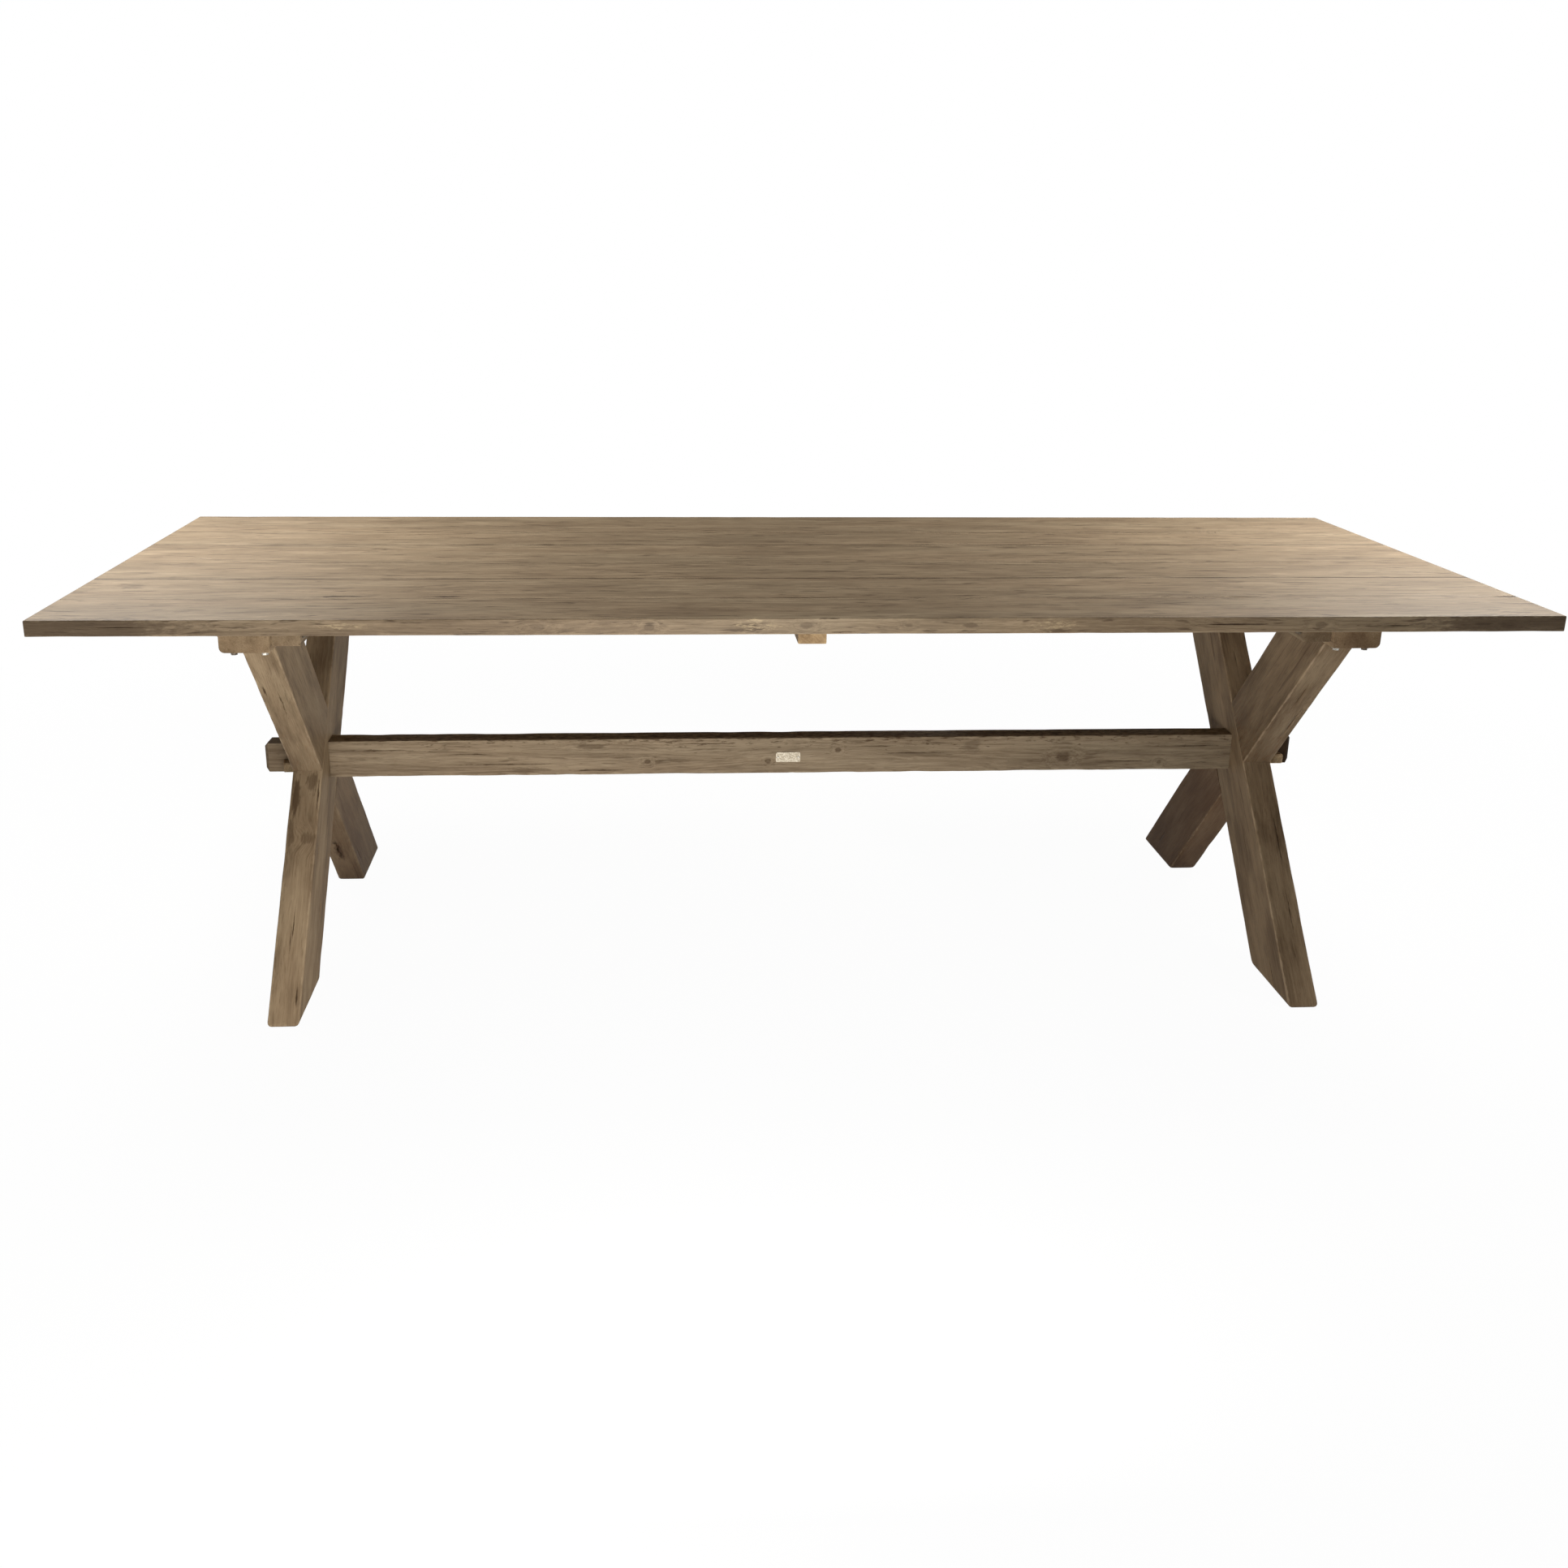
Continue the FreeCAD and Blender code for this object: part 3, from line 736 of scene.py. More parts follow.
class WoodShader:
    """Builds the material of one timber in one finish.

    The layers come first, then how fine the plain noises are, in cells per metre along
    the grain and across it. ASIDE takes the dashes to a place of their own in the log.
    """

    PORES = Layer((38.0, 950.0, 950.0), 0.62, 0.72, detail=1.0, rough=0.55)
    DASHES = Layer((13.0, 130.0, 130.0), 0.58, 0.68)
    VEINS = Layer((2.4, 95.0, 95.0), 0.66, 0.74, detail=2.0, rough=0.5)
    HUES = Layer((1.7, 14.0, 14.0), 0.32, 0.68, rough=0.55)
    RUBBED_WIDTH = Layer((22.0, 40.0, 40.0), 0.42, 0.68, end=0.0065)
    LINE_STRENGTH = Layer((16.0, 30.0, 30.0), 0.38, 0.60, detail=4.0, start=0.15)
    DIRT_STRENGTH = Layer((7.0, 3.0, 3.0), 0.36, 0.60, detail=4.0, start=0.25)
    FLECKS = Layer((90.0, 420.0, 420.0), 0.46, 0.62, detail=4.0, rough=0.65)
    FIBRES = (16.0, 420.0, 420.0)
    WANDERING = (1.3, 7.0, 7.0)
    SHAKING = (6.0, 34.0, 34.0)
    LINE_WANDERING = (38.0, 60.0, 60.0)
    UNEVEN_MARKS = (60.0, 240.0, 240.0)
    ASIDE = (5.0, 3.0, 1.0)

    def __init__(self, finish: WoodFinish, node: str, timber: Timber) -> None:
        """Start the material, with places from the timber's middle and in its log.

        Args:
            finish: the kind of wood.
            node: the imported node.
            timber: how it was cut.
        """
        self.finish, self.timber = finish, timber
        self.material = bpy.data.materials.new("%s_%s" % (finish.name, node))
        self.box = LogBox.of_node(node, timber.lay)
        self.g = Graph(self.material)
        self.place = self.g.mapped(self.g.object_place(), timber.lay.value,
                                   tuple(-self.box.middle))
        from_pith = (timber.shift, -timber.pith[0], -timber.pith[1])
        self.log_place = self.g.vector("ADD", self.place, from_pith)

    def build(self) -> bpy.types.Material:
        """Wire up the colour, the roughness and the fine relief.

        Returns:
            The finished material.
        """
        g, finish = self.g, self.finish
        marks = self.marks()
        grain = self.bent(marks["push"])
        figure = g.noise(grain, finish.streak, 5.0, 0.62)
        fibres = g.noise(grain, self.FIBRES, 4.0, 0.62)
        pores = g.layer(grain, self.PORES)
        dashes = g.layer(g.vector("ADD", grain, self.ASIDE), self.DASHES)
        veins = g.layer(grain, self.VEINS)
        colour = self.clean(grain, figure, fibres)
        for layer, share in ((dashes, finish.dashes), (veins, 0.45), (pores, 0.30)):
            colour = g.mix(g.math("MULTIPLY", layer, share), colour, finish.deep)
        colour = self.aged_and_shaded(self.soiled_and_shaded(colour, marks))
        relief = g.layered(g.math("MULTIPLY", fibres, 0.60), (figure, 0.35),
                           (pores, -0.35), (veins, -0.40), (dashes, -0.15))
        rough = g.layered(finish.roughness - 0.08, (fibres, 0.16))
        inputs = g.shader.inputs
        g.feed(inputs["Base Color"], colour)
        g.feed(inputs["Roughness"], rough)
        g.feed(inputs["Specular IOR Level"], finish.gloss)
        g.feed(inputs["Normal"], g.bump(relief, 0.6, finish.relief))
        return self.material

    def clean(self, grain: Socket, figure: Socket, fibres: Socket) -> Socket:
        """Colour the clean wood by its rings, streaks, fibres, patches and wear.

        Args:
            grain: the place in the bent log.
            figure: the noise of the streaks.
            fibres: the noise of the fibres.

        Returns:
            The colour.
        """
        g, finish = self.g, self.finish
        cloud = g.noise(self.log_place, finish.cells, 4.0)
        tone = g.layered(g.math("MULTIPLY", self.year_rings(grain), finish.lines),
                         (g.span(figure, 0.28, 0.72), finish.figure),
                         (g.span(fibres, 0.25, 0.75), finish.fibre),
                         (g.span(cloud, 0.28, 0.72), finish.cloud),
                         (self.wear(), finish.wear))
        colour = g.ramp(tone, (0.0, finish.dark), (0.50, finish.body), (1.0, finish.pale))
        return g.tinted(colour, g.mix(g.layer(self.log_place, self.HUES), WARMER, COOLER))

    def soiled_and_shaded(self, colour: Socket, marks: dict[object, object]) -> Socket:
        """Put the marks, among them painted shade and painted warm bounce light, and the dirt
        of the seams on a colour.

        Args:
            colour: the colour below.
            marks: how strongly each kind of mark shows.

        Returns:
            The colour.
        """
        g, deep = self.g, self.finish.deep
        # Stains and painted shade take the deep colour; rust and painted warm bounce light
        # take rust's colour.
        for kind, tinge in ((MarkKind.STAIN_AND_SHADE, deep), (MarkKind.KNOT, deep),
                            (MarkKind.RUST_AND_WARM_SHADE, RUST_AND_WARM_SHADE_COLOUR), (MarkKind.CHIP, CHIP_COLOUR)):
            if kind in marks:
                colour = g.mix(marks[kind], colour, tinge)
        if max(self.timber.seams) > 0:
            colour = g.mix(self.seam_dirt(), colour, SEAM_DIRT)
        return colour

    def aged_and_shaded(self, colour: Socket) -> Socket:
        """Give a colour the cast of the end grain, the rubbed arrises, and painted light and
        shade from one end to the other.

        Args:
            colour: the colour before.

        Returns:
            The colour after.
        """
        g, timber = self.g, self.timber
        colour = g.mix(self.end_grain(), colour, g.tinted(colour, timber.end_tone))
        if timber.rubbed > 0:
            line = g.math("MULTIPLY", self.arris_line(), timber.rubbed)
            colour = g.mix(line, colour, RUBBED_COLOUR)
        # Painted light and shade: the colour is made paler or darker from one end of the piece
        # to the other.
        half = float(self.box.half[0])
        ends = [timber.tone * end for end in timber.fade]
        fade = g.span(g.axes(self.place)[0], -half, half, *ends)
        return g.tinted(g.tinted(colour, fade), timber.tint)

    def bent(self, push: object) -> Socket:
        """Let the grain wander, and push it aside by the knots.

        Args:
            push: how far the knots push it, in metres.

        Returns:
            The place in the bent log.
        """
        g = self.g
        wander = g.noise(self.log_place, self.WANDERING, 2.0)
        shake = g.noise(self.log_place, self.SHAKING, 2.0)
        bend = g.math("ADD", g.swing(wander, 0.060), g.swing(shake, 0.011))
        aside = g.add("ShaderNodeCombineXYZ", {"Y": g.math("ADD", bend, push), "Z": bend})
        return g.vector("ADD", self.log_place, aside.outputs[0])

    def year_rings(self, grain: Socket) -> Socket:
        """Lay pale and dark rings: a noise of the distance from a tapering pith.

        Args:
            grain: the place in the bent log.

        Returns:
            The rings, from 0 to 1.
        """
        g = self.g
        across = g.length(g.vector("MULTIPLY", grain, (0.0, 1.0, 1.0)))
        radius = g.layered(across, (g.axes(grain)[0], 0.012))
        rings = g.line_noise(g.math("MULTIPLY", radius, 170.0), 3.0, 0.62)
        return g.span(rings, 0.34, 0.66)

    def from_arris(self) -> Socket:
        """Measure from the nearest arris: the larger of two flanks' distances.

        Returns:
            The distance in metres.
        """
        g = self.g
        away = g.axes(g.vector("ABSOLUTE", self.place))
        gaps = [g.math("SUBTRACT", float(self.box.half[axis]), away[axis])
                for axis in (1, 2)]
        return g.math("MAXIMUM", *gaps)

    def wear(self) -> Socket:
        """Find the rubbed arrises.

        Returns:
            1 on them and 0 a patchy few millimetres from them.
        """
        width = self.g.layer(self.place, self.RUBBED_WIDTH)
        away = self.g.math("SUBTRACT", self.from_arris(), width)
        return self.g.span(away, -0.0035, 0.0025, 1.0, 0.0)

    def arris_line(self) -> Socket:
        """Draw a thin line along the arrises, which comes and goes.

        Returns:
            The line's strength, from 0 to 1.
        """
        g = self.g
        wander = g.noise(self.place, self.LINE_WANDERING, 3.0, 0.6)
        away = g.math("ADD", self.from_arris(), g.swing(wander, 0.0085))
        return g.math("MULTIPLY", g.span(away, 0.0016, 0.0036, 1.0, 0.0),
                      g.layer(self.place, self.LINE_STRENGTH))

    def seam_dirt(self) -> Socket:
        """Gather dirt along the glued edges, which comes and goes along the seam.

        Returns:
            The dirt's strength, from 0 to 1.
        """
        g = self.g
        across, half = g.axes(self.place)[1], float(self.box.half[1])
        gaps = (g.math("ADD", across, half), g.math("SUBTRACT", half, across))
        dirt = [g.span(gap, 0.0018, 0.0058, seam, 0.0)
                for gap, seam in zip(gaps, self.timber.seams)]
        return g.math("MULTIPLY", g.math("MAXIMUM", *dirt),
                      g.layer(self.place, self.DIRT_STRENGTH))

    def end_grain(self) -> Socket:
        """Find the faces that cut the grain across.

        Returns:
            1 on them and 0 on the flanks.
        """
        along = tuple(self.timber.lay.turn()[0])
        normal = self.g.add("ShaderNodeNewGeometry").outputs["True Normal"]
        facing = self.g.vector("DOT_PRODUCT", normal, along, output="Value")
        return self.g.span(self.g.math("ABSOLUTE", facing), 0.45, 0.75)

    def marks(self) -> dict[object, object]:
        """Find how strongly each kind of mark shows, and how far knots push the grain.

        Returns:
            For each kind that is there a strength from 0 to 1, and "push" in metres.
        """
        g, box = self.g, self.box
        found: dict[object, object] = {"push": 0.0}
        if not self.timber.marks:
            return found
        uneven = g.noise(self.place, self.UNEVEN_MARKS, 3.0, 0.6)
        round_edge = g.layered(0.25, (uneven, 1.5))
        ragged_edge = g.layered(-0.10, (uneven, 2.2))
        flecks = g.layer(self.place, self.FLECKS)
        for mark in self.timber.marks:
            centre = box.turn @ np.array(mark.centre) - box.middle
            size = (1 / mark.along, 1 / mark.across, 1 / mark.across)
            from_centre = g.vector("SUBTRACT", self.place, tuple(centre))
            away = g.length(g.vector("MULTIPLY", from_centre, size))
            edge = round_edge if mark.kind is MarkKind.KNOT else ragged_edge
            shown = g.span(g.math("MULTIPLY", away, edge), 0.55, 1.15, mark.strength, 0.0)
            if mark.kind is MarkKind.KNOT:
                eye = g.line_noise(g.math("MULTIPLY", away, 3.2), 2.0)
                shown = g.math("MULTIPLY", shown, g.span(eye, 0.30, 0.62, 1.0, 0.60))
                push = g.span(away, 0.0, 3.4, mark.across * 1.5, 0.0)
                found["push"] = g.math("ADD", found["push"], push)
            if mark.kind is MarkKind.CHIP:
                shown = g.math("MULTIPLY", shown, flecks)
            if mark.kind in found:
                shown = g.math("MAXIMUM", found[mark.kind], shown)
            found[mark.kind] = shown
        return found


TOP_WOOD = WoodFinish("top_wood", deep=srgb(76, 60, 44), dark=srgb(93, 76, 58),
                      body=srgb(136, 118, 94), pale=srgb(172, 153, 126), lines=0.12,
                      figure=0.27, fibre=0.28, cloud=0.28, dashes=0.75, wear=0.15,
                      cells=(4.5, 24.0, 24.0), streak=(5.0, 190.0, 190.0), gloss=0.25,
                      roughness=0.56)
FRAME_WOOD = WoodFinish("frame_wood", deep=srgb(68, 52, 37), dark=srgb(90, 74, 57),
                        body=srgb(130, 113, 91), pale=srgb(158, 141, 116), lines=0.06,
                        figure=0.14, fibre=0.26, cloud=0.54, cells=(6.0, 20.0, 20.0),
                        dashes=0.24, wear=0.25)
STRETCHER_WOOD = replace(FRAME_WOOD, lines=0.12, figure=0.26, fibre=0.34, cloud=0.28,
                         cells=(2.5, 26.0, 26.0), streak=(6.0, 170.0, 170.0),
                         dashes=0.40)
KEY_WOOD = WoodFinish("key_wood", deep=srgb(74, 57, 40), dark=srgb(84, 68, 50),
                      body=srgb(140, 123, 98), pale=srgb(178, 160, 132))


# ---------------------------------------------------------------- metal

WEATHERED_STEEL = srgb(66, 52, 38)
METAL_SPOTS = Layer((900.0, 900.0, 900.0), 0.55, 0.68, rough=0.55)
BLOTCHES = (420.0, 420.0, 420.0)
SCRATCHES = (2500.0, 2500.0, 2500.0)


@dataclass(frozen=True)
class MetalFinish:
    """Colour and wear of one kind of bare metal.

    staining is how strongly its spots show. Beyond weathered_from, a distance from the
    table's middle along X, it has gone dark.
    """

    name: str
    bright: Colour
    dull: Colour
    stain: Colour
    staining: float = 0.2
    roughness: float = 0.35
    weathered_from: float = 10.0

    def material(self) -> bpy.types.Material:
        """Make the material, with blotches of dulled and stained metal.

        Returns:
            The finished material.
        """
        material = bpy.data.materials.new(self.name)
        g = Graph(material)
        place = g.object_place()
        cloud = g.noise(place, BLOTCHES, 4.0, 0.6)
        fine = g.noise(place, SCRATCHES, 2.0)
        spots = g.layer(place, METAL_SPOTS)
        colour = g.mix(g.span(cloud, 0.35, 0.65), self.bright, self.dull)
        colour = g.mix(g.math("MULTIPLY", spots, self.staining), colour, self.stain)
        outer = g.math("GREATER_THAN", g.math("ABSOLUTE", g.axes(place)[0]),
                       self.weathered_from)
        colour = g.mix(g.math("MULTIPLY", outer, 0.85), colour, WEATHERED_STEEL)
        rough = g.layered(self.roughness, (g.math("ADD", cloud, spots), 0.16))
        inputs = g.shader.inputs
        g.feed(inputs["Base Color"], colour)
        g.feed(inputs["Roughness"], rough)
        g.feed(inputs["Metallic"], 1.0)
        g.feed(inputs["Normal"], g.bump(fine, 0.25, 0.0001))
        return material


ZINC = MetalFinish("zinc_steel", srgb(196, 194, 186), srgb(150, 147, 138),
                   srgb(110, 78, 48), staining=0.35, weathered_from=0.962)
DULL_ZINC = MetalFinish("dull_zinc", srgb(132, 122, 106), srgb(92, 82, 68),
                        srgb(84, 58, 36), staining=0.6, roughness=0.55)
PLATE = MetalFinish("plate_metal", srgb(182, 174, 158), srgb(142, 132, 115),
                    srgb(112, 98, 78), staining=0.45, roughness=0.42)
PIN_METAL = MetalFinish("pin_metal", srgb(232, 229, 220), srgb(206, 201, 190),
                        srgb(150, 140, 120))


# ---------------------------------------------------------------- sub-assemblies

STRETCHER_FACE = float(LogBox.of_node("stretcher", Lay.LENGTHWAYS).low[1])


def dress(node: str, material: bpy.types.Material) -> None:
    """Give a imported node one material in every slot.

    Args:
        node: the node.
        material: what it is dressed in.
    """
    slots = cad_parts[node].data.materials
    if len(slots) == 0:
        slots.append(material)
    for index in range(len(slots)):
        slots[index] = material
    log.info("dressed %s in %s", node, material.name)


def set_timber(worn: WornTimber, finish: WoodFinish, timber: Timber) -> None:
    """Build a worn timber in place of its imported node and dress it.

    Args:
        worn: the timber's surface.
        finish: the kind of wood, named as its slot.
        timber: how it was cut.
    """
    mesh = worn.mesh()
    piece = bpy.data.objects.new(mesh.name, mesh)
    bpy.context.scene.collection.objects.link(piece)
    dirty = replace(timber, marks=timber.marks + worn.dirt())
    mesh.materials.append(WoodShader(finish, worn.node, dirty).build())
    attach(piece, "root")
    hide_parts(worn.node)
    log.info("built %s with %d faces", piece.name, len(mesh.polygons))


def marks_on(face: float, *rows: tuple) -> tuple[Mark, ...]:
    """Lay out marks on an upright face that looks to the front.

    Args:
        face: where the face stands along Y.
        rows: each mark's kind, its X and Z, its half sizes and its strength.

    Returns:
        The marks.
    """
    return tuple(Mark(kind, (x, face, z), *sizes) for kind, x, z, *sizes in rows)


def splits_on(face: float, *rows: tuple[float, ...]) -> tuple[Split, ...]:
    """Lay out level splits on an upright face that looks to the front.

    Args:
        face: where the face stands along Y.
        rows: each split's two ends along X, its Z, its width and its depth.

    Returns:
        The splits.
    """
    return tuple(Split((start, face, z), (end, face, z), *sizes)
                 for start, end, z, *sizes in rows)


@dataclass
class PlankTop:
    """The top: six staves with their grain along the table.

    piths and tones go from the front stave to the back one, and seams from the front
    edge over the five joints to the back edge. marks and splits are by the stave's
    number.
    """

    form: SawnForm = SawnForm(arris=0.0020, station=0.018, column=0.018, wave=0.00020,
                              rub=0.0009, checks=6)
    seed: int = 100
    piths: tuple[tuple[float, float], ...] = (
        (-0.05, -0.07), (0.02, -0.12), (-0.03, 0.10), (0.04, -0.08), (-0.02, -0.13),
        (0.03, -0.06))
    tones: tuple[float, ...] = (0.95, 0.97, 0.94, 0.98, 0.99, 1.0)
    end_tone: Colour = (0.58, 0.56, 0.53)
    seams: tuple[float, ...] = (0.0, 0.20, 0.85, 0.25, 0.75, 0.20, 0.0)
    marks: dict[int, tuple[Mark, ...]] = field(default_factory=lambda: {
        1: marks_on(FRONT_EDGE,
                    # The first two marks are painted shade, darkening both ends of the front
                    # edge.
                    (MarkKind.STAIN_AND_SHADE, -1.215, 0.764, 0.180, 0.022, 0.55),
                    (MarkKind.STAIN_AND_SHADE, 1.215, 0.764, 0.170, 0.022, 0.66),
                    (MarkKind.STAIN_AND_SHADE, -0.590, 0.764, 0.190, 0.026, 0.16),
                    (MarkKind.CHIP, -0.790, 0.769, 0.040, 0.006, 0.40),
                    (MarkKind.KNOT, -0.469, 0.766, 0.014, 0.007, 0.51),
                    (MarkKind.KNOT, -0.284, 0.765, 0.011, 0.006, 0.58),
                    (MarkKind.CHIP, -0.105, 0.768, 0.032, 0.011, 0.50),
                    (MarkKind.KNOT, -0.020, 0.768, 0.012, 0.006, 0.70),
                    (MarkKind.KNOT, 0.153, 0.767, 0.008, 0.004, 0.58),
                    (MarkKind.STAIN_AND_SHADE, 0.260, 0.767, 0.014, 0.005, 0.60),
                    (MarkKind.CHIP, 0.397, 0.767, 0.040, 0.009, 0.35),
                    (MarkKind.KNOT, 0.866, 0.765, 0.012, 0.006, 0.62),
                    (MarkKind.KNOT, 1.200, 0.764, 0.014, 0.007, 0.70)),
        2: (Mark(MarkKind.CHIP, (0.759, -0.342, TOP_FACE), 0.016, 0.005, 0.50),),
        4: (Mark(MarkKind.STAIN_AND_SHADE, (0.140, -0.016, TOP_FACE), 0.012, 0.005, 0.70),
            Mark(MarkKind.STAIN_AND_SHADE, (0.071, -0.0235, TOP_FACE), 0.010, 0.005, 0.70))})
    splits: dict[int, tuple[Split, ...]] = field(default_factory=lambda: {
        1: splits_on(FRONT_EDGE, (0.649, 0.769, 0.767, 0.0018), (0.975, 1.020, 0.764, 0.0018)),
        2: (Split((-0.865, -0.328, TOP_FACE), (-0.774, -0.328, TOP_FACE), 0.006, 0.006),
            Split((-0.664, -0.330, TOP_FACE), (-0.615, -0.330, TOP_FACE), 0.008, 0.007))})

    def build(self) -> None:
        """Build each stave as a timber of its own."""
        for index, (pith, tone) in enumerate(zip(self.piths, self.tones), start=1):
            timber = Timber(Lay.LENGTHWAYS, pith, 3.7 * index, tone, end_tone=self.end_tone,
                            seams=(self.seams[index - 1], self.seams[index]),
                            marks=self.marks.get(index, ()))
            worn = WornTimber("top_stave_%d" % index, Lay.LENGTHWAYS, self.form,
                              self.seed + index, self.splits.get(index, ()))
            set_timber(worn, TOP_WOOD, timber)


@dataclass
class CrossFrames:
    """Legs, rails and cleats.

    rail_tones, tints and rubbed are for the left and the right frame, and the cleats'
    tones and ends go from left to right. The ramps of painted light and shade, the
    marks and the splits are by node.
    """

    leg_form: SawnForm = SawnForm(arris=0.0030, foot=0.0085, wave=0.00050)
    rail_form: SawnForm = SawnForm(arris=0.0015, rub=0.0018, checks=5)
    cleat_form: SawnForm = SawnForm(arris=0.0015, wave=0.00035, rub=0.0012, checks=4)
    leg_seed: int = 200
    rail_seed: int = 300
    cleat_seed: int = 400
    # Painted light and shade along each leg: how much paler or darker its top and its foot are
    # made.
    painted_light_ramps: dict[str, tuple[float, float]] = field(default_factory=lambda: {
        "left_front_leg": (1.45, 0.90), "left_rear_leg": (1.20, 0.75),
        "right_front_leg": (0.92, 0.86), "right_rear_leg": (0.94, 0.50)})
    rail_tones: tuple[float, float] = (1.45, 1.16)
    # Painted warm bounce light: the warmer cast, strongest on the right frame, stands in for
    # warm light in the frames' shade.
    tints: tuple[Colour, Colour] = ((1.0, 0.985, 0.965), (1.0, 0.955, 0.92))
    rubbed: tuple[float, float] = (0.16, 0.40)
    cleat_tones: tuple[float, float, float] = (1.10, 1.30, 0.85)
    cleat_ends: tuple[Colour, Colour, Colour] = (
        (0.9, 0.88, 0.86), (1.27, 1.22, 1.08), (0.9, 0.88, 0.86))
    marks: dict[str, tuple[Mark, ...]] = field(default_factory=lambda: {
        "left_front_leg": (
            Mark(MarkKind.KNOT, (-0.945, -0.203, 0.275), 0.013, 0.013, 0.55),
            Mark(MarkKind.STAIN_AND_SHADE, (-0.9735, -0.145, 0.341), 0.044, 0.0080, 0.75),
            Mark(MarkKind.STAIN_AND_SHADE, (-0.978, -0.195, 0.284), 0.030, 0.009, 0.45),
            Mark(MarkKind.STAIN_AND_SHADE, (-0.944, -0.126, 0.363), 0.024, 0.0110, 0.55)),
        "left_rear_leg": (
            Mark(MarkKind.STAIN_AND_SHADE, (-0.9575, 0.127, 0.110), 0.050, 0.010, 0.55),
            # A broad faint warm cast: painted warm bounce light in the lower rear leg's shade.
            Mark(MarkKind.RUST_AND_WARM_SHADE, (-0.956, 0.190, 0.110), 0.420, 0.500, 0.14)),
        "right_rear_leg": (
            # A broad faint warm cast: painted warm bounce light in the lower rear leg's shade.
            Mark(MarkKind.RUST_AND_WARM_SHADE, (0.956, 0.190, 0.110), 0.420, 0.500, 0.26),),
        "right_rail": (
            Mark(MarkKind.RUST_AND_WARM_SHADE, (0.985, -0.4301, 0.742), 0.006, 0.007, 0.60),)})
    splits: dict[str, tuple[Split, ...]] = field(default_factory=lambda: {
        "left_front_leg": (
            Split((-0.9315, -0.1221, 0.367), (-0.9315, -0.1670, 0.316), 0.0020),
            Split((-0.9360, -0.4183, 0.031), (-0.9360, -0.3954, 0.057), 0.0022),
            Split((-0.9540, -0.3381, 0.122), (-0.9540, -0.3001, 0.165), 0.0014, 0.0025)),
        "left_rear_leg": (
            Split((-0.9745, -0.3179, 0.615), (-0.9745, -0.2941, 0.588), 0.0020),
            Split((-0.9515, -0.2993, 0.594), (-0.9515, -0.2526, 0.541), 0.0016),
            Split((-0.9575, 0.0960, 0.1455), (-0.9575, 0.1590, 0.0741), 0.0080, 0.0070)),
        "right_front_leg": (
            Split((0.9690, -0.1935, 0.286), (0.9690, -0.2500, 0.222), 0.0016),
            Split((0.9650, -0.2940, 0.172), (0.9650, -0.3477, 0.111), 0.0014, 0.0025))})

    def build(self) -> None:
        """Build the two frames from left to right, then the three cleats."""
        for index, side in enumerate(("left", "right")):
            self.build_legs(index, side)
            self.build_rail(index, side)
        for index, side in enumerate(("left", "middle", "right")):
            self.build_cleat(index, side)

    def build_legs(self, index: int, side: str) -> None:
        """Build one frame's front and rear leg.

        Args:
            index: 0 for the left frame, 1 for the right one.
            side: its name.
        """
        for rear, (name, lay) in enumerate((("front", Lay.FRONT_LEG),
                                            ("rear", Lay.REAR_LEG))):
            node = "%s_%s_leg" % (side, name)
            number = 2 * index + rear
            worn = WornTimber(node, lay, self.leg_form, self.leg_seed + number,
                              self.splits.get(node, ()))
            timber = Timber(lay, (0.05, 0.11 - 0.03 * number), 2.3 * number + 0.7,
                            tint=self.tints[index], fade=self.painted_light_ramps[node],
                            rubbed=self.rubbed[index], marks=self.marks.get(node, ()))
            set_timber(worn, FRAME_WOOD, timber)

    def build_rail(self, index: int, side: str) -> None:
        """Build one frame's rail.

        Args:
            index: 0 for the left frame, 1 for the right one.
            side: its name.
        """
        node = side + "_rail"
        worn = WornTimber(node, Lay.CROSSWAYS, self.rail_form, self.rail_seed + index)
        timber = Timber(Lay.CROSSWAYS, (0.03, -0.05), 5.1 + index, self.rail_tones[index],
                        self.tints[index], marks=self.marks.get(node, ()))
        set_timber(worn, FRAME_WOOD, timber)

    def build_cleat(self, index: int, side: str) -> None:
        """Build one cleat.

        Args:
            index: its number from the left.
            side: its name.
        """
        worn = WornTimber(side + "_cleat", Lay.CROSSWAYS, self.cleat_form,
                          self.cleat_seed + index)
        timber = Timber(Lay.CROSSWAYS, (0.02, -0.03), 7.7 + index, self.cleat_tones[index],
                        end_tone=self.cleat_ends[index])
        set_timber(worn, FRAME_WOOD, timber)


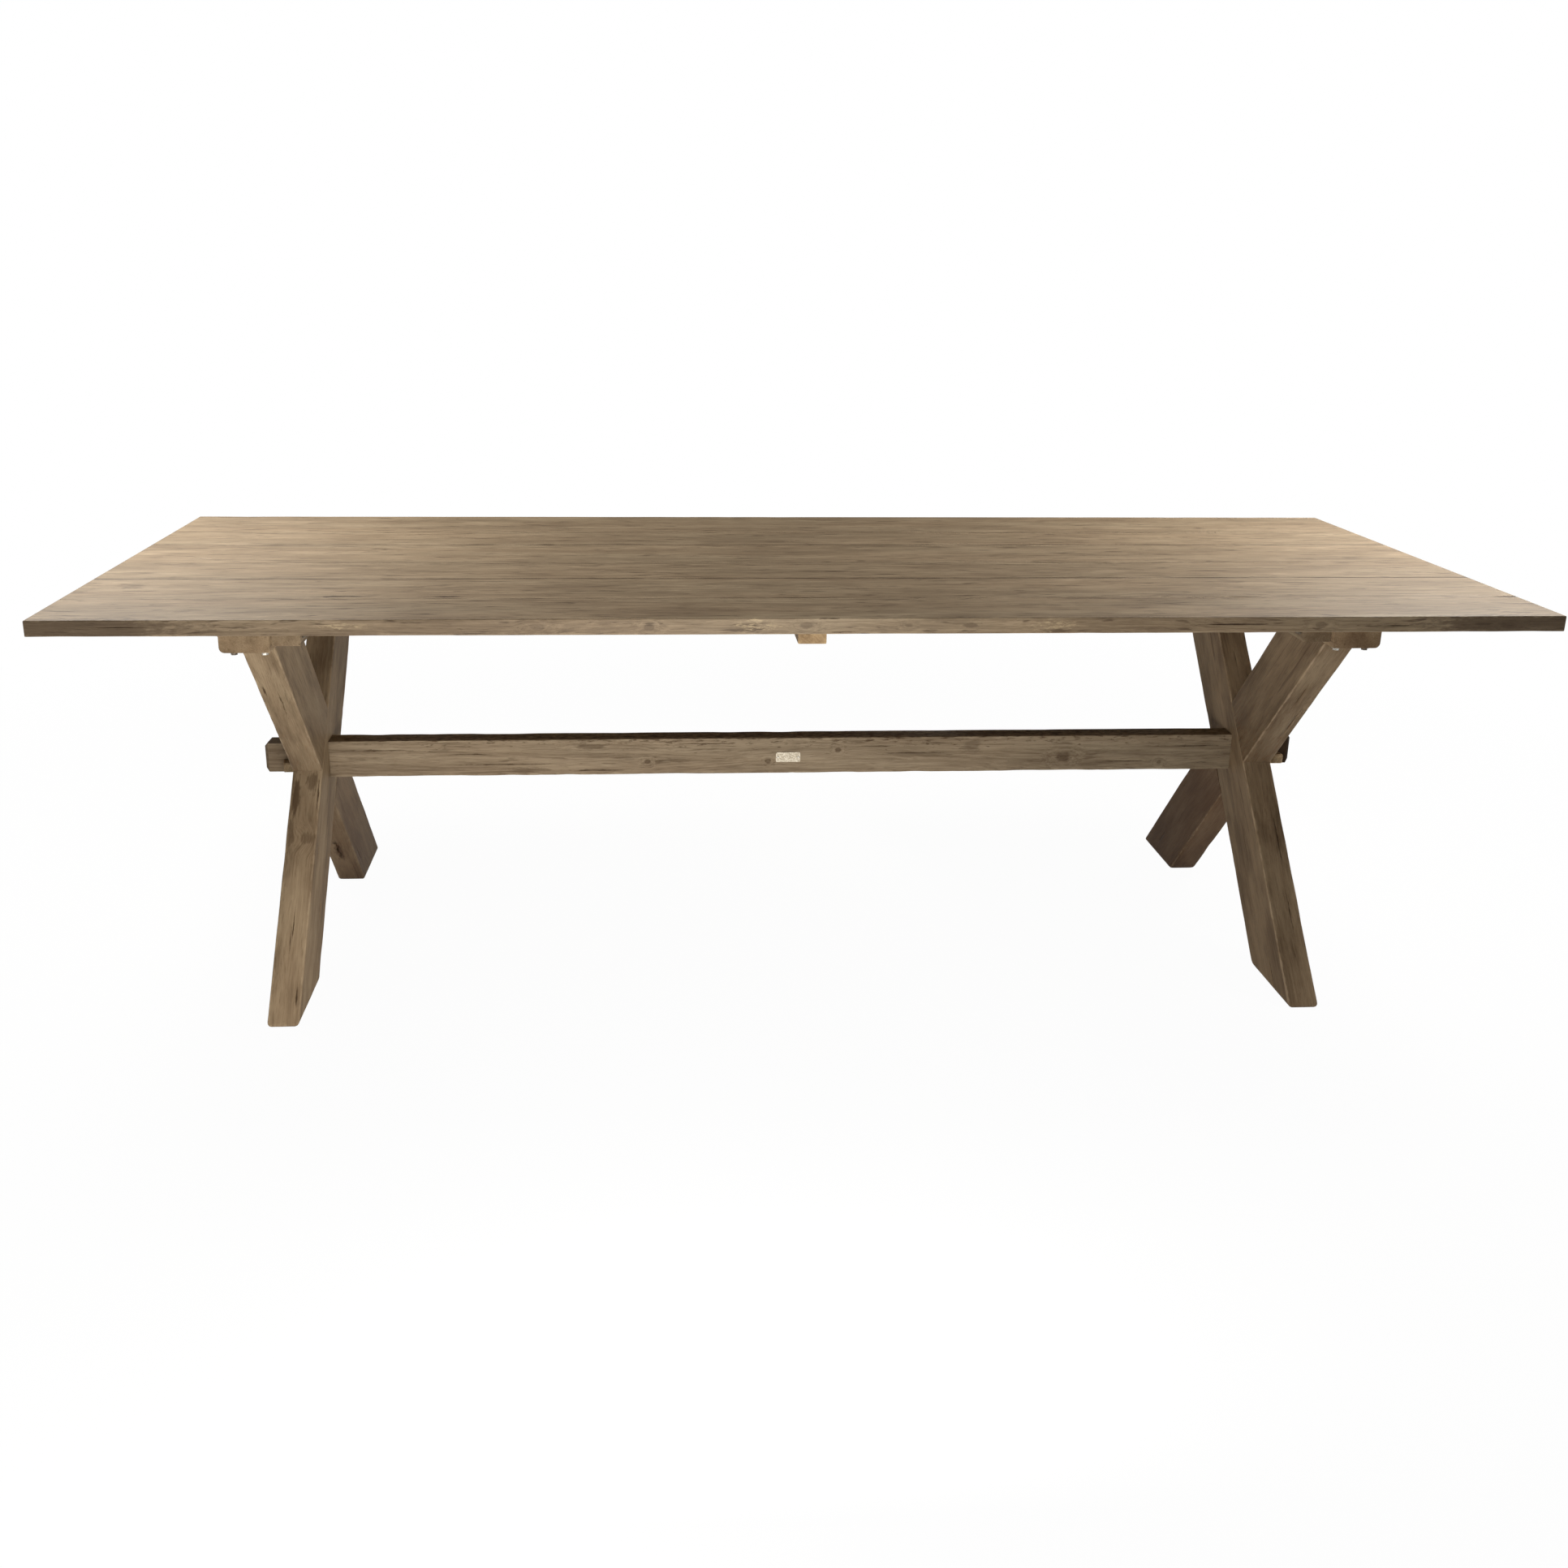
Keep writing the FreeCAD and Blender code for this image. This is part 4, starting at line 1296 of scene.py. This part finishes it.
@dataclass
class KeyedStretcher:
    """The stretcher and its two tusk keys, and the dowels of the same wood."""

    form: SawnForm = SawnForm(arris=0.0020, rub=0.0018, checks=14)
    seed: int = 500
    # The keys are paler wood, and the right key's much higher tone is also painted light on
    # its end beside the dark tenon.
    key_tones: tuple[float, float] = (1.15, 1.9)
    marks: tuple[Mark, ...] = marks_on(
        STRETCHER_FACE,
        (MarkKind.KNOT, -0.288, 0.3695, 0.007, 0.0055, 0.95),
        (MarkKind.KNOT, -0.041, 0.368, 0.006, 0.005, 0.85),
        (MarkKind.KNOT, 0.103, 0.392, 0.007, 0.006, 0.95),
        (MarkKind.KNOT, 0.573, 0.372, 0.016, 0.011, 0.85),
        (MarkKind.STAIN_AND_SHADE, 0.381, 0.398, 0.022, 0.014, 0.40),
        (MarkKind.KNOT, 0.777, 0.359, 0.006, 0.005, 0.80),
        (MarkKind.STAIN_AND_SHADE, -0.406, 0.403, 0.034, 0.006, 0.50),
        (MarkKind.STAIN_AND_SHADE, -0.520, 0.354, 0.050, 0.005, 0.45),
        # Painted shadow on the left tenon beside the leg.
        (MarkKind.STAIN_AND_SHADE, -1.030, 0.380, 0.090, 0.090, 0.36)) + (
        # Painted shadow: the right tenon in the leg's shade, and the stretcher's top under the
        # table top.
        Mark(MarkKind.STAIN_AND_SHADE, (1.030, -0.030, 0.380), 0.080, 0.080, 1.00),
        Mark(MarkKind.STAIN_AND_SHADE, (0.000, -0.020, 0.444), 1.350, 0.036, 0.85))
    splits: tuple[Split, ...] = splits_on(
        STRETCHER_FACE,
        (-0.890, -0.760, 0.398, 0.0012, 0.0025), (-0.700, -0.600, 0.388, 0.0012, 0.0025),
        (-0.640, -0.470, 0.366, 0.0014, 0.0025), (-0.440, -0.330, 0.352, 0.0014, 0.0025),
        (-0.230, -0.110, 0.407, 0.0012, 0.0025), (0.200, 0.330, 0.384, 0.0012, 0.0025),
        (0.640, 0.760, 0.362, 0.0014, 0.0025), (0.800, 0.900, 0.394, 0.0012, 0.0025))

    def build(self) -> None:
        """Build the stretcher and dress the keys and dowels."""
        worn = WornTimber("stretcher", Lay.LENGTHWAYS, self.form, self.seed, self.splits)
        # Painted light: the stretcher is made paler towards its left end.
        timber = Timber(Lay.LENGTHWAYS, (0.06, -0.04), 9.1, fade=(1.30, 1.0),
                        tint=(1.03, 1.07, 1.13), marks=self.marks)
        set_timber(worn, STRETCHER_WOOD, timber)
        for index, node in enumerate(("left_tusk_key", "right_tusk_key")):
            timber = Timber(Lay.CROSSWAYS, (0.04, 0.03), 5.5 + index, self.key_tones[index],
                            end_tone=(1.0, 0.98, 0.96))
            dress(node, WoodShader(KEY_WOOD, node, timber).build())
        timber = Timber(Lay.CROSSWAYS, (0.0, 0.05), 4.2)
        dress("board_dowels", WoodShader(KEY_WOOD, "board_dowels", timber).build())


@dataclass
class Hardware:
    """Bolts, screws and the blank plate."""

    finishes: dict[MetalFinish, tuple[str, ...]] = field(default_factory=lambda: {
        ZINC: ("rail_lag_screws", "lag_washers"),
        DULL_ZINC: ("frame_bolts", "bolt_washers", "bolt_nuts", "cleat_screws"),
        PLATE: ("blank_plate",),
        PIN_METAL: ("plate_pins",)})

    def build(self) -> None:
        """Dress the steel hardware and the plate."""
        for finish, nodes in self.finishes.items():
            material = finish.material()
            for node in nodes:
                dress(node, material)


# ---------------------------------------------------------------- studio

WHITE = (1.0, 1.0, 1.0)
SOFT_WHITE = (1.0, 0.985, 0.96)
WARM_WHITE = (1.0, 0.975, 0.94)


@dataclass(frozen=True)
class SoftLamp:
    """A rectangular studio lamp."""

    name: str
    place: Point
    target: Point
    size: tuple[float, float]
    power: float
    colour: Colour = WHITE

    def build(self) -> None:
        """Hang the lamp at its place, turned towards its target."""
        data = bpy.data.lights.new(self.name, "AREA")
        data.shape = "RECTANGLE"
        data.size, data.size_y = self.size
        data.energy = self.power
        data.color = self.colour
        lamp = bpy.data.objects.new(self.name, data)
        lamp.location = self.place
        way = Vector(self.target) - Vector(self.place)
        lamp.rotation_euler = way.to_track_quat("-Z", "Y").to_euler()
        lamp.visible_camera = False
        bpy.context.scene.collection.objects.link(lamp)


@dataclass
class Studio:
    """Pale floor, soft lamps, white surround and the camera.

    The lens is given in pixels of a square image: its side, its focal length and the
    pixel that it looks at straight on.
    """

    image_side: float = 1932.0
    focal_pixels: float = 1814.64
    centre_pixels: tuple[float, float] = (904.94, 859.80)
    sensor: float = 36.0
    yaw: float = math.radians(3.538)
    pitch: float = math.radians(16.683)
    roll: float = math.radians(-0.658)
    eye: Point = (-0.28757, -2.89033, 1.35927)
    floor_half: float = 40.0
    floor_colour: Colour = (0.80, 0.79, 0.775)
    surround_light: float = 0.08
    lamps: tuple[SoftLamp, ...] = (
        SoftLamp("left_end_lamp", (-1.6, 0.3, 1.9), (-1.15, -0.05, 0.78), (0.7, 0.7),
                 35.0, SOFT_WHITE),
        SoftLamp("right_end_lamp", (1.75, 0.25, 1.9), (1.25, -0.05, 0.78), (0.7, 0.7),
                 40.0, SOFT_WHITE),
        SoftLamp("left_glare_lamp", (-2.3, 3.2, 1.65), (-1.1, -0.3, 0.78), (1.4, 0.6),
                 6.3, (1.0, 0.97, 0.93)),
        SoftLamp("right_glare_lamp", (3.2, 3.3, 1.65), (1.1, -0.3, 0.78), (1.4, 0.6),
                 8.0, (1.0, 0.955, 0.915)),
        SoftLamp("left_side_lamp", (-2.6, 0.3, 1.3), (-1.0, 0.0, 0.42), (0.6, 0.6), 2.2),
        SoftLamp("low_left_lamp", (-0.6, -1.9, 0.28), (-0.6, 0.0, 0.42), (0.9, 0.24),
                 6.2, WARM_WHITE),
        SoftLamp("low_front_lamp", (-0.1, -1.6, 0.34), (-0.1, 0.0, 0.45), (0.7, 0.16),
                 11.0, WARM_WHITE),
        SoftLamp("left_leg_lamp", (-1.2, -1.9, 0.26), (-0.95, -0.3, 0.25), (0.5, 0.24),
                 3.2, WARM_WHITE),
        SoftLamp("inner_left_lamp", (0.35, 0.45, 0.35), (-0.95, 0.0, 0.40), (0.4, 0.3),
                 1.2, (1.0, 0.90, 0.76)))

    def build(self) -> None:
        """Set the stage, the lamps, the surround, the camera and the view transform."""
        self.build_floor()
        self.build_surround()
        for lamp in self.lamps:
            lamp.build()
        self.build_camera()
        bpy.context.scene.view_settings.view_transform = "Standard"

    def build_floor(self) -> None:
        """Lay a flat square under the feet, which the eye sees nearly white."""
        half = self.floor_half
        corners = [(-half, -half, 0.0), (half, -half, 0.0), (half, half, 0.0),
                   (-half, half, 0.0)]
        mesh = bpy.data.meshes.new("floor")
        mesh.from_pydata(corners, [], [(0, 1, 2, 3)])
        floor = bpy.data.objects.new("floor", mesh)
        bpy.context.scene.collection.objects.link(floor)
        material = bpy.data.materials.new("pale_floor")
        g = Graph(material)
        g.feed(g.shader.inputs["Base Color"], self.floor_colour)
        g.feed(g.shader.inputs["Roughness"], 0.9)
        glow = g.add("ShaderNodeEmission", {"Color": WHITE, "Strength": 1.0})
        rays = g.add("ShaderNodeLightPath").outputs
        mirrored = g.math("MAXIMUM", rays["Is Glossy Ray"], rays["Is Transmission Ray"])
        seen = g.math("MAXIMUM", rays["Is Camera Ray"], mirrored)
        share = g.span(g.length(g.object_place()), 1.2, 3.2, 0.97, 1.0)
        blend = g.blend(g.math("MULTIPLY", seen, share), g.shader.outputs[0],
                        glow.outputs[0])
        g.feed(g.output.inputs["Surface"], blend)
        mesh.materials.append(material)

    def build_surround(self) -> None:
        """Surround the table with white to the eye, which is softer as a light."""
        world = bpy.data.worlds.new("surround")
        bpy.context.scene.world = world
        g = Graph(world, "ShaderNodeOutputWorld", "ShaderNodeBackground")
        g.feed(g.shader.inputs["Color"], WARM_WHITE)
        g.feed(g.shader.inputs["Strength"], self.surround_light)
        white = g.add("ShaderNodeBackground", {"Color": WHITE, "Strength": 1.0})
        seen = g.add("ShaderNodeLightPath").outputs["Is Camera Ray"]
        blend = g.blend(seen, g.shader.outputs[0], white.outputs[0])
        g.feed(g.output.inputs["Surface"], blend)

    def build_camera(self) -> None:
        """Place the camera from its yaw, pitch and roll.

        The forward way is yawed right from +Y and pitched down; the right and down
        ways are then rolled about it.
        """
        forward = Vector((math.sin(self.yaw) * math.cos(self.pitch),
                          math.cos(self.yaw) * math.cos(self.pitch),
                          -math.sin(self.pitch)))
        level = Vector((math.cos(self.yaw), -math.sin(self.yaw), 0.0))
        down = forward.cross(level)
        right = math.cos(self.roll) * level + math.sin(self.roll) * down
        low = math.cos(self.roll) * down - math.sin(self.roll) * level
        data = bpy.data.cameras.new("camera")
        data.sensor_width = self.sensor
        data.lens = self.focal_pixels / self.image_side * self.sensor
        middle = self.image_side / 2
        data.shift_x = (middle - self.centre_pixels[0]) / self.image_side
        data.shift_y = (self.centre_pixels[1] - middle) / self.image_side
        camera = bpy.data.objects.new("camera", data)
        bpy.context.scene.collection.objects.link(camera)
        turn = Matrix((right, -low, -forward)).transposed().to_4x4()
        camera.matrix_world = Matrix.Translation(self.eye) @ turn
        bpy.context.scene.camera = camera


def main() -> None:
    """Build every sub-assembly in order, then the studio."""
    logging.basicConfig(level=logging.INFO)
    for part in (PlankTop(), CrossFrames(), KeyedStretcher(), Hardware(), Studio()):
        part.build()
        log.info("built %s", type(part).__name__)


if __name__ == "__main__":
    main()
